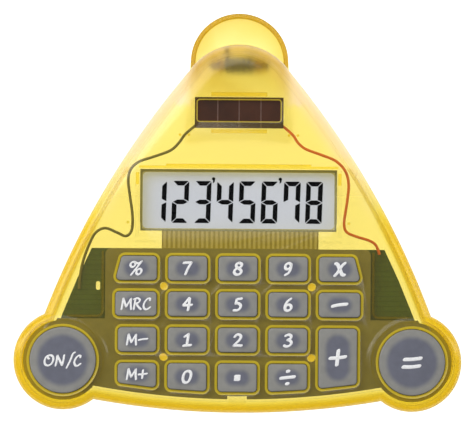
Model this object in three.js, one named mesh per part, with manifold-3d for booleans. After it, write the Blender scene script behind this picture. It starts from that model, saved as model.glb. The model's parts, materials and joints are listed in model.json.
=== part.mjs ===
import * as THREE from 'three';
import { mergeVertices } from 'three/addons/utils/BufferGeometryUtils.js';
import Module from 'manifold-3d';

const wasm = await Module();
wasm.setup();

// All sizes are in millimetres.
// The face frame has +X to the right, +Y towards the apex and +Z out of the face,
// with Z = 0 on the parting plane of the two shells.

// Housing outline: a triangle of three arcs with a small apex arc
const apexRadius = 15.5;
const apexCentreY = 27.9;
const sideRadius = 215;
const sidePoint = new THREE.Vector2(49.5, -25.6);
const bottomRadius = 212.5;
const bottomEdgeY = -51.36;
const cornerRadius = 9;

// Round turrets on the two lower corners
const lobeX = 44.8;
const lobeY = -38;
const lobeRadius = 12.8;
const turretRise = 0.5;
const turretShoulder = 2.3;
const turretGrooveOuter = 10.1;
const turretGrooveInner = 9.35;
const turretGrooveDepth = 0.7;

// Depth of the front shell and thickness of its walls
const faceHeight = 5.6;
const plateThickness = 1.6;
const wallThickness = 1.7;
const lowShoulder = 2.3;
const highShoulderWidth = 5.8;
const highShoulderDrop = 4.3;
const shoulderStartY = -8;
const shoulderEndY = 32;
const leastFillet = 0.4;

// The face slopes up towards the apex when the housing lies on a table
const tilt = THREE.MathUtils.degToRad(5);
const rearDepthAtBottomEdge = 3.4;
const floorThickness = 1.6;
const rearEdgeRound = 1.1;

// Clearances and helper lengths
const fitGap = 0.3;
const overrun = 4;
const weld = 0.5;

// Tongue of the rear shell, inside the front wall
const tongueThickness = 0.8;
const tongueHeight = 1.1;

// Ramp on the back, from the table face up to the floor under the clip
const rampLowY = 3;
const rampHighY = 14.5;

// Circuit board and rubber mat
const boardTop = 1;
const boardThickness = 1.2;
const boardEdgeInset = 4.3;
const boardTopEdgeY = -9.2;
const boardLobeRadius = 9.7;
const toolHoleX = -36;
const toolHoleY = -18.9;
const toolHoleWidth = 1.1;
const toolHoleHeight = 2.2;
const matHalfWidth = 34.1;
const matWingTopY = -27.3;
const matEdgeInset = 3.5;
const matCorner = 1.5;
const matNotchHalfWidth = 2.5;
const matNotchDepth = 1.1;
const fenceThickness = 0.7;
const fenceCorner = 1.8;
const fenceTopY = -9.9;
const fenceEndX = 44;
const stakeRadius = 1;
const stakeX = 19;
const stakeUpperY = -18.9;
const stakeLowerY = -37.1;
const stakeTail = 0.8;
const chipCapRadius = 6;
const chipCapHeight = 1.3;
const chipCapY = -24;
const capacitorRadius = 1.6;
const capacitorLength = 5.4;
const capacitorX = 24;
const capacitorY = -16.5;

// Keys
const keyClearance = 0.3;
const keyCorner = 0.9;
const keyProud = 0.9;
const roundKeyProud = 0.6;
const keyEdge = 0.5;
const keyCrown = 0.12;
const keyTravel = 1;
const keyBottomSpare = 0.2;
const keyPillHeight = 0.35;
const openingBevel = 0.55;
const columnPitch = 12.9;
const innerKeyWidth = 9.83;
const outerKeyInnerEdge = 20.9;
const wideKeyWidth = 10.45;
const narrowKeyWidth = 9.7;
const firstRowTopY = -11.2;
const rowPitch = 9.17;
const keyHeight = 6.1;
const lastRowBottomY = -45.85;
const slantWidth = 1.6;
const roundKeyRadius = 8.4;
const pillWidth = 6.4;
const pillHeight = 4.2;
const tallPillHeight = 12;
const roundPillRadius = 6.65;

// Display
const displayX = 0;
const windowWidth = 49.2;
const windowHeight = 14.4;
const windowCentreY = 3.2;
const windowCorner = 0.8;
const windowBevel = 0.3;
const glassWidth = 50.6;
const glassTopY = 11.2;
const glassBottomY = -4.7;
const glassThickness = 1.1;
const contactLedge = 2.1;
const reflectorThickness = 0.2;
const connectorX = 0.5;
const connectorWidth = 40.3;
const connectorThickness = 0.2;
const connectorLap = 1.7;
const connectorTailLap = 1.2;

// Ribs that hold the display in the front shell
const railThickness = 0.85;
const railFootHeight = 0.9;
const topRibHalfWidth = 18.65;
const topRibThickness = 1.1;
const topLedgeThickness = 0.6;
const catchHeight = 3.1;
const catchCentreY = 8.8;
const catchFootHeight = 0;
const lowRibInnerX = 21.2;
const lowRibThickness = 0.6;
const lowRibY = -7.4;
const railTopY = 11;
const railBottomY = -6.2;

// Solar cell
const cellWidth = 22.8;
const cellHeight = 7.95;
const cellCentreY = 25.8;
const cellThickness = 1.1;
const cellWindowWidth = 21.3;
const cellWindowHeight = 5.4;
const cellWindowCentreY = 26.3;
const cellWindowCorner = 0.6;
const cellWallThickness = 0.7;
const cellWallShare = 0.8;
const cellBarHalfWidth = 7.2;
const cellBarThickness = 1;
const cellRibFootHeight = 1.2;

// Wires and the small posts that guide them
const wireRadius = 0.4;
const wireHeight = 1.85;
const wireSides = 6;
const wireSteps = 40;
const leadGap = 1.5;
const guideRadius = 0.35;
const guideSpread = 2.3;
const upperGuideX = 14;
const upperGuideY = 20.05;
const lowerGuideGap = 0.45;
const lowerGuideY = -2.5;

// Clip on the back: a finger disc, a bent jaw, a pin and a wound spring
const pinY = 38.2;
const pinRadius = 1;
const pinOverhang = 0.6;
const wireSpringRadius = 0.45;
const coilRadius = 2;
const coilPitch = 1.45;
const coilTurns = 4.5;
const coilSides = 5;
const coilStepsPerTurn = 8;
const springLegLength = 5.2;
const leverThickness = 1.8;
const leverGroundGap = 0.5;
const leverDiscY = 39.3;
const leverDiscRadius = 12.65;
const leverRimWidth = 1.25;
const leverRimHeight = 1;
const jawHalfWidth = 14;
const jawEndY = 18;
const jawEndRadius = 76;
const jawCorner = 1.6;
const jawRiseStart = 11;
const jawRiseEnd = 16.6;
const earThickness = 1.4;
const hingeRadius = 2.2;

// Levels that follow from the sizes above
const plateUnderside = faceHeight - plateThickness;
const boardBottom = boardTop - boardThickness;
const matBottom = boardTop + fitGap;
const matTop = plateUnderside - fitGap;
const keyBottom = boardTop + keyTravel + keyBottomSpare;
const glassTop = plateUnderside - fitGap;
const glassBottom = glassTop - glassThickness;
const backGlassTop = glassBottom - fitGap;
const backGlassBottom = backGlassTop - glassThickness;
const reflectorTop = backGlassBottom - fitGap;
const reflectorBottom = reflectorTop - reflectorThickness;
const leadX = glassWidth / 2 + leadGap + wireRadius;
const lowerGuideX = leadX + wireRadius + lowerGuideGap + guideRadius;
const cellTop = plateUnderside - fitGap;
const cellBottom = cellTop - cellThickness;
const coilOuterRadius = coilRadius + wireSpringRadius;
const hingeReach = coilOuterRadius + fitGap;
const seatHeight = rearDepthAtBottomEdge * Math.cos(tilt) - bottomEdgeY * Math.sin(tilt);
const pinHeight = leverGroundGap + leverThickness + hingeReach;
const pinZ = (pinHeight - seatHeight - pinY * Math.sin(tilt)) / Math.cos(tilt);
const clipFloorZ = pinZ + hingeReach;

// Facets of the arcs
const lobeFacets = 32;
const apexFacets = 5;
const sideFacets = 8;
const cornerFacets = 3;
const bottomFacets = 6;
const shoulderFacets = 3;
const keyCornerFacets = 2;
const holeFacets = 14;

// Manifold solids and three.js geometry

function toSolid(geometry) {
  const bare = geometry.clone();
  bare.deleteAttribute('normal');
  bare.deleteAttribute('uv');
  const merged = mergeVertices(bare);
  const mesh = new wasm.Mesh({
    numProp: 3,
    vertProperties: new Float32Array(merged.attributes.position.array),
    triVerts: new Uint32Array(merged.index.array),
  });
  return new wasm.Manifold(mesh);
}

function toGeometry(solid) {
  const mesh = solid.getMesh();
  const geometry = new THREE.BufferGeometry();
  geometry.setAttribute('position', new THREE.BufferAttribute(mesh.vertProperties, 3));
  geometry.setIndex(new THREE.BufferAttribute(mesh.triVerts, 1));
  geometry.computeVertexNormals();
  return geometry;
}

function join(...solids) {
  return solids.reduce((whole, piece) => whole.add(piece));
}

function cut(body, ...cutters) {
  return cutters.reduce((whole, cutter) => whole.subtract(cutter), body);
}

function block(minX, maxX, minY, maxY, minZ, maxZ) {
  const geometry = new THREE.BoxGeometry(maxX - minX, maxY - minY, maxZ - minZ);
  geometry.translate((minX + maxX) / 2, (minY + maxY) / 2, (minZ + maxZ) / 2);
  return toSolid(geometry);
}

function upright(x, y, radius, minZ, maxZ, facets = holeFacets) {
  const geometry = new THREE.CylinderGeometry(radius, radius, maxZ - minZ, facets);
  geometry.rotateX(Math.PI / 2);
  geometry.translate(x, y, (minZ + maxZ) / 2);
  return toSolid(geometry);
}

function crosswise(y, z, radius, minX, maxX, facets = holeFacets) {
  const geometry = new THREE.CylinderGeometry(radius, radius, maxX - minX, facets);
  geometry.rotateZ(Math.PI / 2);
  geometry.translate((minX + maxX) / 2, y, z);
  return toSolid(geometry);
}

// A prism along X from a closed outline of (y, z) points
function prismAlongX(points, minX, maxX) {
  const shape = new THREE.Shape(points.map(([y, z]) => new THREE.Vector2(y, z)));
  const geometry = new THREE.ExtrudeGeometry(shape, { depth: maxX - minX, bevelEnabled: false });
  geometry.rotateY(Math.PI / 2);
  geometry.rotateX(Math.PI / 2);
  geometry.translate(minX, 0, 0);
  return toSolid(geometry);
}

function revolve(profile, x, y, facets = lobeFacets) {
  const points = profile.map(([radius, height]) => new THREE.Vector2(radius, height));
  const geometry = new THREE.LatheGeometry(points, facets);
  geometry.rotateX(Math.PI / 2);
  geometry.translate(x, y, 0);
  return toSolid(geometry);
}

// A closed skin over rings of equally many points, capped by a fan at both ends
function loft(rings, crown = 0) {
  const count = rings[0].length;
  const positions = rings.flat().flatMap((point) => [point.x, point.y, point.z]);
  const index = [];
  for (let ring = 0; ring + 1 < rings.length; ring += 1) {
    for (let i = 0; i < count; i += 1) {
      const a = ring * count + i;
      const b = ring * count + ((i + 1) % count);
      index.push(a, b, b + count, a, b + count, a + count);
    }
  }
  const caps = [rings[0], rings[rings.length - 1]];
  caps.forEach((ring, end) => {
    const middle = ring.reduce((sum, point) => sum.add(point), new THREE.Vector3());
    middle.divideScalar(count);
    middle.z += end * crown;
    positions.push(middle.x, middle.y, middle.z);
    const hub = positions.length / 3 - 1;
    const first = end * (rings.length - 1) * count;
    for (let i = 0; i < count; i += 1) {
      const here = first + i;
      const next = first + ((i + 1) % count);
      index.push(hub, ...(end ? [here, next] : [next, here]));
    }
  });
  const geometry = new THREE.BufferGeometry();
  geometry.setAttribute('position', new THREE.Float32BufferAttribute(positions, 3));
  geometry.setIndex(index);
  return toSolid(geometry);
}

function tube(path, radius, sides, steps) {
  const section = new THREE.Shape();
  const corners = Array.from({ length: sides }, (_, i) => (2 * Math.PI * i) / sides);
  section.setFromPoints(corners.map((a) => new THREE.Vector2(radius * Math.cos(a), radius * Math.sin(a))));
  return toSolid(new THREE.ExtrudeGeometry(section, { steps, extrudePath: path }));
}

// Outlines: each is a function of an outward offset and a height, and gives a ring of points

function circleOutline(x, y, radius, facets = lobeFacets) {
  return (offset, z) => Array.from({ length: facets }, (_, i) => {
    const angle = (2 * Math.PI * i) / facets;
    const reach = radius + offset;
    return new THREE.Vector3(x + reach * Math.cos(angle), y + reach * Math.sin(angle), z);
  });
}

// A convex outline through corners that go counter-clockwise, each rounded alike
function roundedOutline(corners, radius, facets = keyCornerFacets) {
  const count = corners.length;
  const edges = corners.map((corner, i) => {
    const [x, y] = corner;
    const [nextX, nextY] = corners[(i + 1) % count];
    const angle = Math.atan2(nextY - y, nextX - x) - Math.PI / 2;
    const reach = x * Math.cos(angle) + y * Math.sin(angle) - radius;
    return { angle, reach };
  });
  const centres = corners.map((_, i) => {
    const before = edges[(i + count - 1) % count];
    const after = edges[i];
    const spread = Math.sin(after.angle - before.angle);
    const x = (before.reach * Math.sin(after.angle) - after.reach * Math.sin(before.angle)) / spread;
    const y = (after.reach * Math.cos(before.angle) - before.reach * Math.cos(after.angle)) / spread;
    const turn = THREE.MathUtils.euclideanModulo(after.angle - before.angle, 2 * Math.PI);
    return { x, y, start: before.angle, turn };
  });
  return (offset, z) => centres.flatMap(({ x, y, start, turn }) => (
    Array.from({ length: facets + 1 }, (_, i) => {
      const angle = start + (turn * i) / facets;
      const reach = radius + offset;
      return new THREE.Vector3(x + reach * Math.cos(angle), y + reach * Math.sin(angle), z);
    })
  ));
}

function rectangle(centreX, centreY, width, height) {
  const left = centreX - width / 2;
  const right = centreX + width / 2;
  const low = centreY - height / 2;
  const high = centreY + height / 2;
  return [[left, low], [right, low], [right, high], [left, high]];
}

// Housing outline

function circleCrossing(centreA, radiusA, centreB, radiusB, side) {
  const direction = centreB.clone().sub(centreA);
  const distance = direction.length();
  direction.normalize();
  const along = (radiusA ** 2 - radiusB ** 2 + distance ** 2) / (2 * distance);
  const across = side * Math.sqrt(Math.max(radiusA ** 2 - along ** 2, 0));
  const foot = centreA.clone().addScaledVector(direction, along);
  return foot.add(new THREE.Vector2(-direction.y, direction.x).multiplyScalar(across));
}

function heading(from, to) {
  return Math.atan2(to.y - from.y, to.x - from.x);
}

const apexCentre = new THREE.Vector2(0, apexCentreY);
const sideCentre = circleCrossing(apexCentre, sideRadius - apexRadius, sidePoint, sideRadius, -1);
const bottomCentre = new THREE.Vector2(0, bottomEdgeY + bottomRadius);
const cornerCentre = circleCrossing(
  sideCentre,
  sideRadius - cornerRadius,
  bottomCentre,
  bottomRadius - cornerRadius,
  -1,
);

function arcStations(centre, radius, from, to, facets) {
  return Array.from({ length: facets }, (_, i) => {
    const angle = from + ((to - from) * i) / facets;
    const normal = new THREE.Vector2(Math.cos(angle), Math.sin(angle));
    return { point: centre.clone().addScaledVector(normal, radius), normal };
  });
}

function housingStations() {
  const down = -Math.PI / 2;
  const up = Math.PI / 2;
  const cornerStart = heading(bottomCentre, cornerCentre);
  const sideStart = heading(sideCentre, cornerCentre);
  const apexStart = heading(sideCentre, apexCentre);
  const right = [
    ...arcStations(bottomCentre, bottomRadius, down, cornerStart, bottomFacets),
    ...arcStations(cornerCentre, cornerRadius, cornerStart, sideStart, cornerFacets),
    ...arcStations(sideCentre, sideRadius, sideStart, apexStart, sideFacets),
    ...arcStations(apexCentre, apexRadius, apexStart, up, apexFacets),
    ...arcStations(apexCentre, apexRadius, up, up, 1),
  ];
  const left = right.slice(1, -1).reverse().map(({ point, normal }) => ({
    point: new THREE.Vector2(-point.x, point.y),
    normal: new THREE.Vector2(-normal.x, normal.y),
  }));
  return [...right, ...left];
}

const stations = housingStations();

// One ring of the housing; the inset and the height may depend on the station's Y
function housingRing(insetAt, heightAt) {
  return stations.map(({ point, normal }) => {
    const inset = insetAt(point.y);
    const x = point.x - normal.x * inset;
    const y = point.y - normal.y * inset;
    return new THREE.Vector3(x, y, heightAt(point.y, y));
  });
}

function housingPrism(inset, minZ, maxZ) {
  return loft([minZ, maxZ].map((z) => housingRing(() => inset, () => z)));
}

// Front form: upright wall, then a rounded shoulder that widens towards the apex
function frontForm(inset, foot, top, thickness) {
  const growth = (y) => THREE.MathUtils.smoothstep(y, shoulderStartY, shoulderEndY);
  const width = (y) => THREE.MathUtils.lerp(lowShoulder, highShoulderWidth, growth(y)) - inset;
  const drop = (y) => THREE.MathUtils.lerp(lowShoulder, highShoulderDrop, growth(y)) - thickness;
  const safeWidth = (y) => Math.max(width(y), leastFillet);
  const safeDrop = (y) => Math.max(drop(y), leastFillet);
  const rings = [housingRing(() => inset, () => foot)];
  for (let i = 0; i <= shoulderFacets; i += 1) {
    const angle = ((Math.PI / 2) * i) / shoulderFacets;
    const insetAt = (y) => inset + safeWidth(y) * (1 - Math.cos(angle));
    const heightAt = (y) => top - safeDrop(y) * (1 - Math.sin(angle));
    rings.push(housingRing(insetAt, heightAt));
  }
  return loft(rings);
}

function bothSides(make) {
  return [make(-1), make(1)];
}

// Keys: name, outline, pill and how far the top stands above the face

function rowTop(row) {
  return firstRowTopY - row * rowPitch;
}

function bottomArcY(x) {
  return lastRowBottomY + x ** 2 / (2 * bottomRadius);
}

function keySpec(name, left, right, top, bottomAt, pillTall = pillHeight) {
  const corners = [[left, bottomAt(left)], [right, bottomAt(right)], [right, top], [left, top]];
  const middle = (left + right) / 2;
  const pill = rectangle(middle, (top + bottomAt(middle)) / 2, pillWidth, pillTall);
  return { name, corners, pill, proud: keyProud };
}

function keyInRow(name, left, right, row) {
  const top = rowTop(row);
  return keySpec(name, left, right, top, () => top - keyHeight);
}

function innerKey(name, column, row) {
  const left = column * columnPitch - innerKeyWidth / 2;
  return keyInRow(name, left, left + innerKeyWidth, row);
}

const outerEdges = {
  wideLeft: [-outerKeyInnerEdge - wideKeyWidth, -outerKeyInnerEdge],
  wideRight: [outerKeyInnerEdge, outerKeyInnerEdge + wideKeyWidth],
  narrowLeft: [-outerKeyInnerEdge - narrowKeyWidth, -outerKeyInnerEdge],
  narrowRight: [outerKeyInnerEdge, outerKeyInnerEdge + narrowKeyWidth],
};

// The outer upper corner of an end key is drawn in to follow the housing
function slanted(key, side) {
  const [lowLeft, lowRight, highRight, highLeft] = key.corners;
  const corners = side < 0
    ? [lowLeft, lowRight, highRight, [highLeft[0] + slantWidth, highLeft[1]]]
    : [lowLeft, lowRight, [highRight[0] - slantWidth, highRight[1]], highLeft];
  return { ...key, corners };
}

const lastRow = 3;
const lastRowKeys = [
  ['key_memory_plus', ...outerEdges.narrowLeft],
  ...['key_0', 'key_point', 'key_divide'].map((name, i) => {
    const left = (i - 1) * columnPitch - innerKeyWidth / 2;
    return [name, left, left + innerKeyWidth];
  }),
];

const digitRows = [['key_7', 'key_8', 'key_9'], ['key_4', 'key_5', 'key_6'], ['key_1', 'key_2', 'key_3']];

const keys = [
  slanted(keyInRow('key_percent', ...outerEdges.wideLeft, 0), -1),
  keyInRow('key_memory_recall', ...outerEdges.wideLeft, 1),
  keyInRow('key_memory_minus', ...outerEdges.narrowLeft, 2),
  slanted(keyInRow('key_multiply', ...outerEdges.wideRight, 0), 1),
  keyInRow('key_minus', ...outerEdges.wideRight, 1),
  keySpec('key_plus', ...outerEdges.narrowRight, rowTop(2), bottomArcY, tallPillHeight),
  ...digitRows.flatMap((names, row) => names.map((name, i) => innerKey(name, i - 1, row))),
  ...lastRowKeys.map(([name, left, right]) => keySpec(name, left, right, rowTop(lastRow), bottomArcY)),
];

const roundKeys = [{ name: 'key_on_clear', side: -1 }, { name: 'key_equals', side: 1 }];

function keyOutline(key) {
  return roundedOutline(key.corners, keyCorner);
}

function roundKeyOutline(key) {
  return circleOutline(key.side * lobeX, lobeY, roundKeyRadius);
}

function keySolid(outline, pillOutline, top) {
  const cap = loft([
    outline(0, keyBottom + keyPillHeight),
    outline(0, top - keyEdge),
    outline(-keyEdge * (1 - Math.cos(Math.PI / 4)), top - keyEdge * (1 - Math.sin(Math.PI / 4))),
    outline(-keyEdge, top),
  ], keyCrown);
  return cap.add(loft([pillOutline(0, keyBottom), pillOutline(0, keyBottom + keyPillHeight + weld)]));
}

// Front shell

function turretForm() {
  const top = faceHeight + turretRise;
  const profile = [[0, 0], [lobeRadius, 0]];
  for (let i = 0; i <= shoulderFacets; i += 1) {
    const angle = ((Math.PI / 2) * i) / shoulderFacets;
    const radius = lobeRadius - turretShoulder * (1 - Math.cos(angle));
    profile.push([radius, top - turretShoulder * (1 - Math.sin(angle))]);
  }
  profile.push([turretGrooveOuter, top - turretGrooveDepth]);
  profile.push([turretGrooveInner, top - turretGrooveDepth]);
  profile.push([turretGrooveInner, top]);
  profile.push([0, top]);
  return profile;
}

// A straight hole through the plate with a bevel that opens upwards
function bevelledHole(outline, clearance, bevel, top) {
  return loft([
    outline(clearance, plateUnderside - overrun),
    outline(clearance, top - bevel),
    outline(clearance + bevel, top),
    outline(clearance + bevel, top + overrun),
  ]);
}

function displayRibs() {
  const ceiling = plateUnderside + weld;
  const railInner = displayX + glassWidth / 2 + fitGap;
  const railOuter = railInner + railThickness;
  const topInner = glassTopY + fitGap;
  const ledge = block(-railInner, railInner, topInner, topInner + topLedgeThickness, railFootHeight, ceiling);
  const topRib = block(
    -topRibHalfWidth,
    topRibHalfWidth,
    topInner,
    topInner + topRibThickness,
    railFootHeight,
    ceiling,
  );
  const sides = bothSides((side) => {
    const inner = side * railInner;
    const outer = side * railOuter;
    const [low, high] = [Math.min(inner, outer), Math.max(inner, outer)];
    const rail = block(low, high, railBottomY, railTopY, railFootHeight, ceiling);
    const catchPost = block(
      low,
      high,
      catchCentreY - catchHeight / 2,
      catchCentreY + catchHeight / 2,
      catchFootHeight,
      ceiling,
    );
    const ribEnds = [side * lowRibInnerX, outer];
    const lowRib = block(
      Math.min(...ribEnds),
      Math.max(...ribEnds),
      lowRibY - lowRibThickness / 2,
      lowRibY + lowRibThickness / 2,
      railFootHeight,
      ceiling,
    );
    return join(rail, catchPost, lowRib);
  });
  return join(ledge, topRib, ...sides);
}

function cellRibs() {
  const ceiling = plateUnderside + weld;
  const wallX = cellWidth / 2 + fitGap;
  const wallHalf = (cellHeight * cellWallShare) / 2;
  const walls = bothSides((side) => {
    const ends = [side * wallX, side * (wallX + cellWallThickness)];
    return block(
      Math.min(...ends),
      Math.max(...ends),
      cellCentreY - wallHalf,
      cellCentreY + wallHalf,
      cellRibFootHeight,
      ceiling,
    );
  });
  const bars = bothSides((side) => {
    const near = cellCentreY + side * (cellHeight / 2 + fitGap);
    const far = near + side * cellBarThickness;
    return block(
      -cellBarHalfWidth,
      cellBarHalfWidth,
      Math.min(near, far),
      Math.max(near, far),
      cellRibFootHeight,
      ceiling,
    );
  });
  return join(...walls, ...bars);
}

function guidePosts() {
  const places = bothSides((side) => [
    [side * (upperGuideX - guideSpread / 2), upperGuideY],
    [side * (upperGuideX + guideSpread / 2), upperGuideY],
    [side * lowerGuideX, lowerGuideY],
  ]).flat();
  const foot = wireHeight - 2 * wireRadius;
  return join(...places.map(([x, y]) => upright(x, y, guideRadius, foot, plateUnderside + weld, 10)));
}

// A low wall beside the mat, which turns outward above the round wing with a rounded corner
function matFence(side) {
  const inner = matHalfWidth + fitGap;
  const low = matWingTopY + fitGap;
  const reach = 2 * fenceEndX;
  const outline = roundedOutline(
    rectangle(side * (inner + reach / 2), low + reach / 2, reach, reach),
    fenceCorner,
  );
  const ceiling = plateUnderside + weld;
  const around = loft([outline(0, matBottom), outline(0, ceiling)]);
  const inside = loft([
    outline(-fenceThickness, matBottom - overrun),
    outline(-fenceThickness, ceiling + overrun),
  ]);
  const ends = [side * inner, side * fenceEndX];
  const extent = block(Math.min(...ends), Math.max(...ends), low, fenceTopY, matBottom, ceiling);
  return cut(around, inside).intersect(extent);
}

const stakePlaces = [stakeUpperY, stakeLowerY].flatMap((y) => bothSides((side) => [side * stakeX, y]));

function frontShell() {
  const turretTop = faceHeight + turretRise;
  const turrets = bothSides((side) => revolve(turretForm(), side * lobeX, lobeY));
  const outer = join(frontForm(0, 0, faceHeight, 0), ...turrets);
  const cavityRadius = lobeRadius - wallThickness;
  const turretCavities = bothSides((side) => (
    upright(side * lobeX, lobeY, cavityRadius, -overrun, plateUnderside, lobeFacets)
  ));
  const cavity = join(
    frontForm(wallThickness, -overrun, plateUnderside, plateThickness),
    ...turretCavities,
  );
  const keyHoles = keys.map((key) => (
    bevelledHole(keyOutline(key), keyClearance, openingBevel, faceHeight)
  ));
  const roundHoles = roundKeys.map((key) => (
    bevelledHole(roundKeyOutline(key), keyClearance, openingBevel, turretTop)
  ));
  const window = roundedOutline(
    rectangle(displayX, windowCentreY, windowWidth, windowHeight),
    windowCorner,
  );
  const cellWindow = roundedOutline(
    rectangle(0, cellWindowCentreY, cellWindowWidth, cellWindowHeight),
    cellWindowCorner,
  );
  const windows = [window, cellWindow].map((outline) => (
    bevelledHole(outline, 0, windowBevel, faceHeight)
  ));
  const hollow = cut(outer, cavity, ...keyHoles, ...roundHoles, ...windows);
  const stakes = stakePlaces.map(([x, y]) => (
    upright(x, y, stakeRadius, boardBottom - stakeTail, plateUnderside + weld)
  ));
  const notchWall = bottomEdgeY + wallThickness - weld;
  const notchRib = block(
    -matNotchHalfWidth + fitGap,
    matNotchHalfWidth - fitGap,
    notchWall,
    bottomEdgeY + matEdgeInset + matNotchDepth - fitGap,
    matBottom,
    plateUnderside + weld,
  );
  const fences = bothSides(matFence);
  return join(hollow, displayRibs(), cellRibs(), guidePosts(), notchRib, ...fences, ...stakes);
}

// Rear shell

// Height of a plane that lies parallel to the table, in the face frame
function tablePlaneZ(y, rise = 0) {
  return (rise - seatHeight - y * Math.sin(tilt)) / Math.cos(tilt);
}

function rearForm(inset, top, rise, round, shallowZ) {
  const roundAt = (share) => inset + round * (1 - Math.cos((Math.PI / 2) * share));
  const liftAt = (share) => round * (1 - Math.sin((Math.PI / 2) * share));
  const shares = [1, 1 / 2, 0];
  const upperRing = housingRing(() => inset, () => top);
  const deepRings = shares.map((share) => housingRing(
    () => roundAt(share),
    (_, y) => tablePlaneZ(y, rise) + liftAt(share),
  ));
  const shallowRings = shares.map((share) => housingRing(() => roundAt(share), () => shallowZ + liftAt(share)));
  const rampLow = rampLowY - rise;
  const rampHigh = rampHighY - rise;
  const farY = apexCentreY + apexRadius + overrun;
  const deepZ = tablePlaneZ(farY) - overrun;
  const behindRamp = prismAlongX([
    [rampLow, tablePlaneZ(rampLow, rise)],
    [rampLow, deepZ],
    [farY, deepZ],
    [farY, top + overrun],
    [rampHigh, top + overrun],
    [rampHigh, shallowZ],
  ], -sidePoint.x, sidePoint.x);
  return loft([...deepRings, upperRing]).subtract(behindRamp).add(loft([...shallowRings, upperRing]));
}

function rearTurret(x, radius, top, rise) {
  const outline = circleOutline(x, lobeY, radius);
  const round = rearEdgeRound;
  const shares = [1, 1 / 2, 0];
  const rings = shares.map((share) => (
    outline(-round * (1 - Math.cos((Math.PI / 2) * share)), 0).map((point) => {
      const lift = round * (1 - Math.sin((Math.PI / 2) * share));
      return point.setZ(tablePlaneZ(point.y, rise) + lift);
    })
  ));
  return loft([...rings, outline(0, top)]);
}

function rearShell() {
  const rim = -fitGap;
  const lobeWall = lobeRadius - wallThickness;
  const outer = join(
    rearForm(0, rim, 0, rearEdgeRound, clipFloorZ),
    ...bothSides((side) => rearTurret(side * lobeX, lobeRadius, rim, 0)),
  );
  const cavity = join(
    rearForm(wallThickness, rim + overrun, floorThickness, leastFillet, clipFloorZ + floorThickness),
    ...bothSides((side) => rearTurret(side * lobeX, lobeWall, rim + overrun, floorThickness)),
  );
  const tongueInset = wallThickness + fitGap;
  const tongueInner = tongueInset + tongueThickness;
  const foot = rim - weld;
  const lobeTongue = (x, inset, minZ, maxZ) => (
    upright(x, lobeY, lobeRadius - inset, minZ, maxZ, lobeFacets)
  );
  const tongueOuterForm = join(
    housingPrism(tongueInset, foot, tongueHeight),
    ...bothSides((side) => lobeTongue(side * lobeX, tongueInset, foot, tongueHeight)),
  );
  const tongueInnerForm = join(
    housingPrism(tongueInner, foot - weld, tongueHeight + weld),
    ...bothSides((side) => lobeTongue(side * lobeX, tongueInner, foot - weld, tongueHeight + weld)),
  );
  // The tongue's foot is thickened outwards so that it joins the wall
  const footOuterForm = join(
    housingPrism(wallThickness - weld, foot - weld, rim),
    ...bothSides((side) => lobeTongue(side * lobeX, wallThickness - weld, foot - weld, rim)),
  );
  const tongue = cut(join(tongueOuterForm, footOuterForm), tongueInnerForm);
  const rests = restPosts();
  const lugs = hingeLugs();
  const shell = join(cut(outer, cavity), tongue, rests, ...lugs);
  return cut(shell, crosswise(pinY, pinZ, pinRadius + fitGap, -lobeX, lobeX));
}

const boardRestX = 29;
const boardRestRadius = 1.5;
const boardRestUpperY = -13;
const boardRestLowerY = -41.5;
const displayRestX = 16;
const displayRestHalfWidth = 0.8;
const displayRestLowY = -1.5;
const displayRestHighY = 10;
const cellRestHalfWidth = 6;
const cellRestHalfThickness = 0.8;

// Posts and bars of the rear shell that back the board, the display and the solar cell
function restPosts() {
  const floorZ = (y) => tablePlaneZ(y, floorThickness) - weld;
  const boardRests = [boardRestUpperY, boardRestLowerY].flatMap((y) => bothSides((side) => (
    upright(side * boardRestX, y, boardRestRadius, floorZ(y), boardBottom - fitGap)
  )));
  const displayRests = bothSides((side) => {
    const middle = side * displayRestX;
    return block(
      middle - displayRestHalfWidth,
      middle + displayRestHalfWidth,
      displayRestLowY,
      displayRestHighY,
      clipFloorZ + floorThickness - weld,
      reflectorBottom - fitGap,
    ).add(block(
      middle - displayRestHalfWidth,
      middle + displayRestHalfWidth,
      displayRestLowY,
      rampLowY - floorThickness,
      floorZ(displayRestLowY),
      reflectorBottom - fitGap,
    ));
  });
  const cellRest = block(
    -cellRestHalfWidth,
    cellRestHalfWidth,
    cellCentreY - cellRestHalfThickness,
    cellCentreY + cellRestHalfThickness,
    clipFloorZ + floorThickness - weld,
    cellBottom - fitGap,
  );
  return join(...boardRests, ...displayRests, cellRest);
}

const coilHalfLength = (coilPitch * coilTurns) / 2 + wireSpringRadius;
const earInnerX = coilHalfLength + fitGap;
const lugInnerX = earInnerX + earThickness + fitGap;
const lugOuterX = lugInnerX + earThickness;

function hingeLugs() {
  return bothSides((side) => {
    const ends = [side * lugInnerX, side * lugOuterX];
    const minX = Math.min(...ends);
    const maxX = Math.max(...ends);
    const knuckle = crosswise(pinY, pinZ, hingeRadius, minX, maxX);
    const web = block(minX, maxX, pinY - hingeRadius, pinY + hingeRadius, pinZ, clipFloorZ + weld);
    return knuckle.add(web);
  });
}

// Board, mat and what they carry

function boardForm(inset, lobeReach, topY, minZ, maxZ) {
  const body = housingPrism(inset, minZ, maxZ);
  const upper = block(-lobeX, lobeX, topY, apexCentreY + apexRadius, minZ - overrun, maxZ + overrun);
  const lobes = bothSides((side) => upright(side * lobeX, lobeY, lobeReach, minZ, maxZ, lobeFacets));
  return join(body.subtract(upper), ...lobes);
}

function stakeHoles(minZ, maxZ) {
  return stakePlaces.map(([x, y]) => upright(x, y, stakeRadius + fitGap, minZ - weld, maxZ + weld));
}

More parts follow.
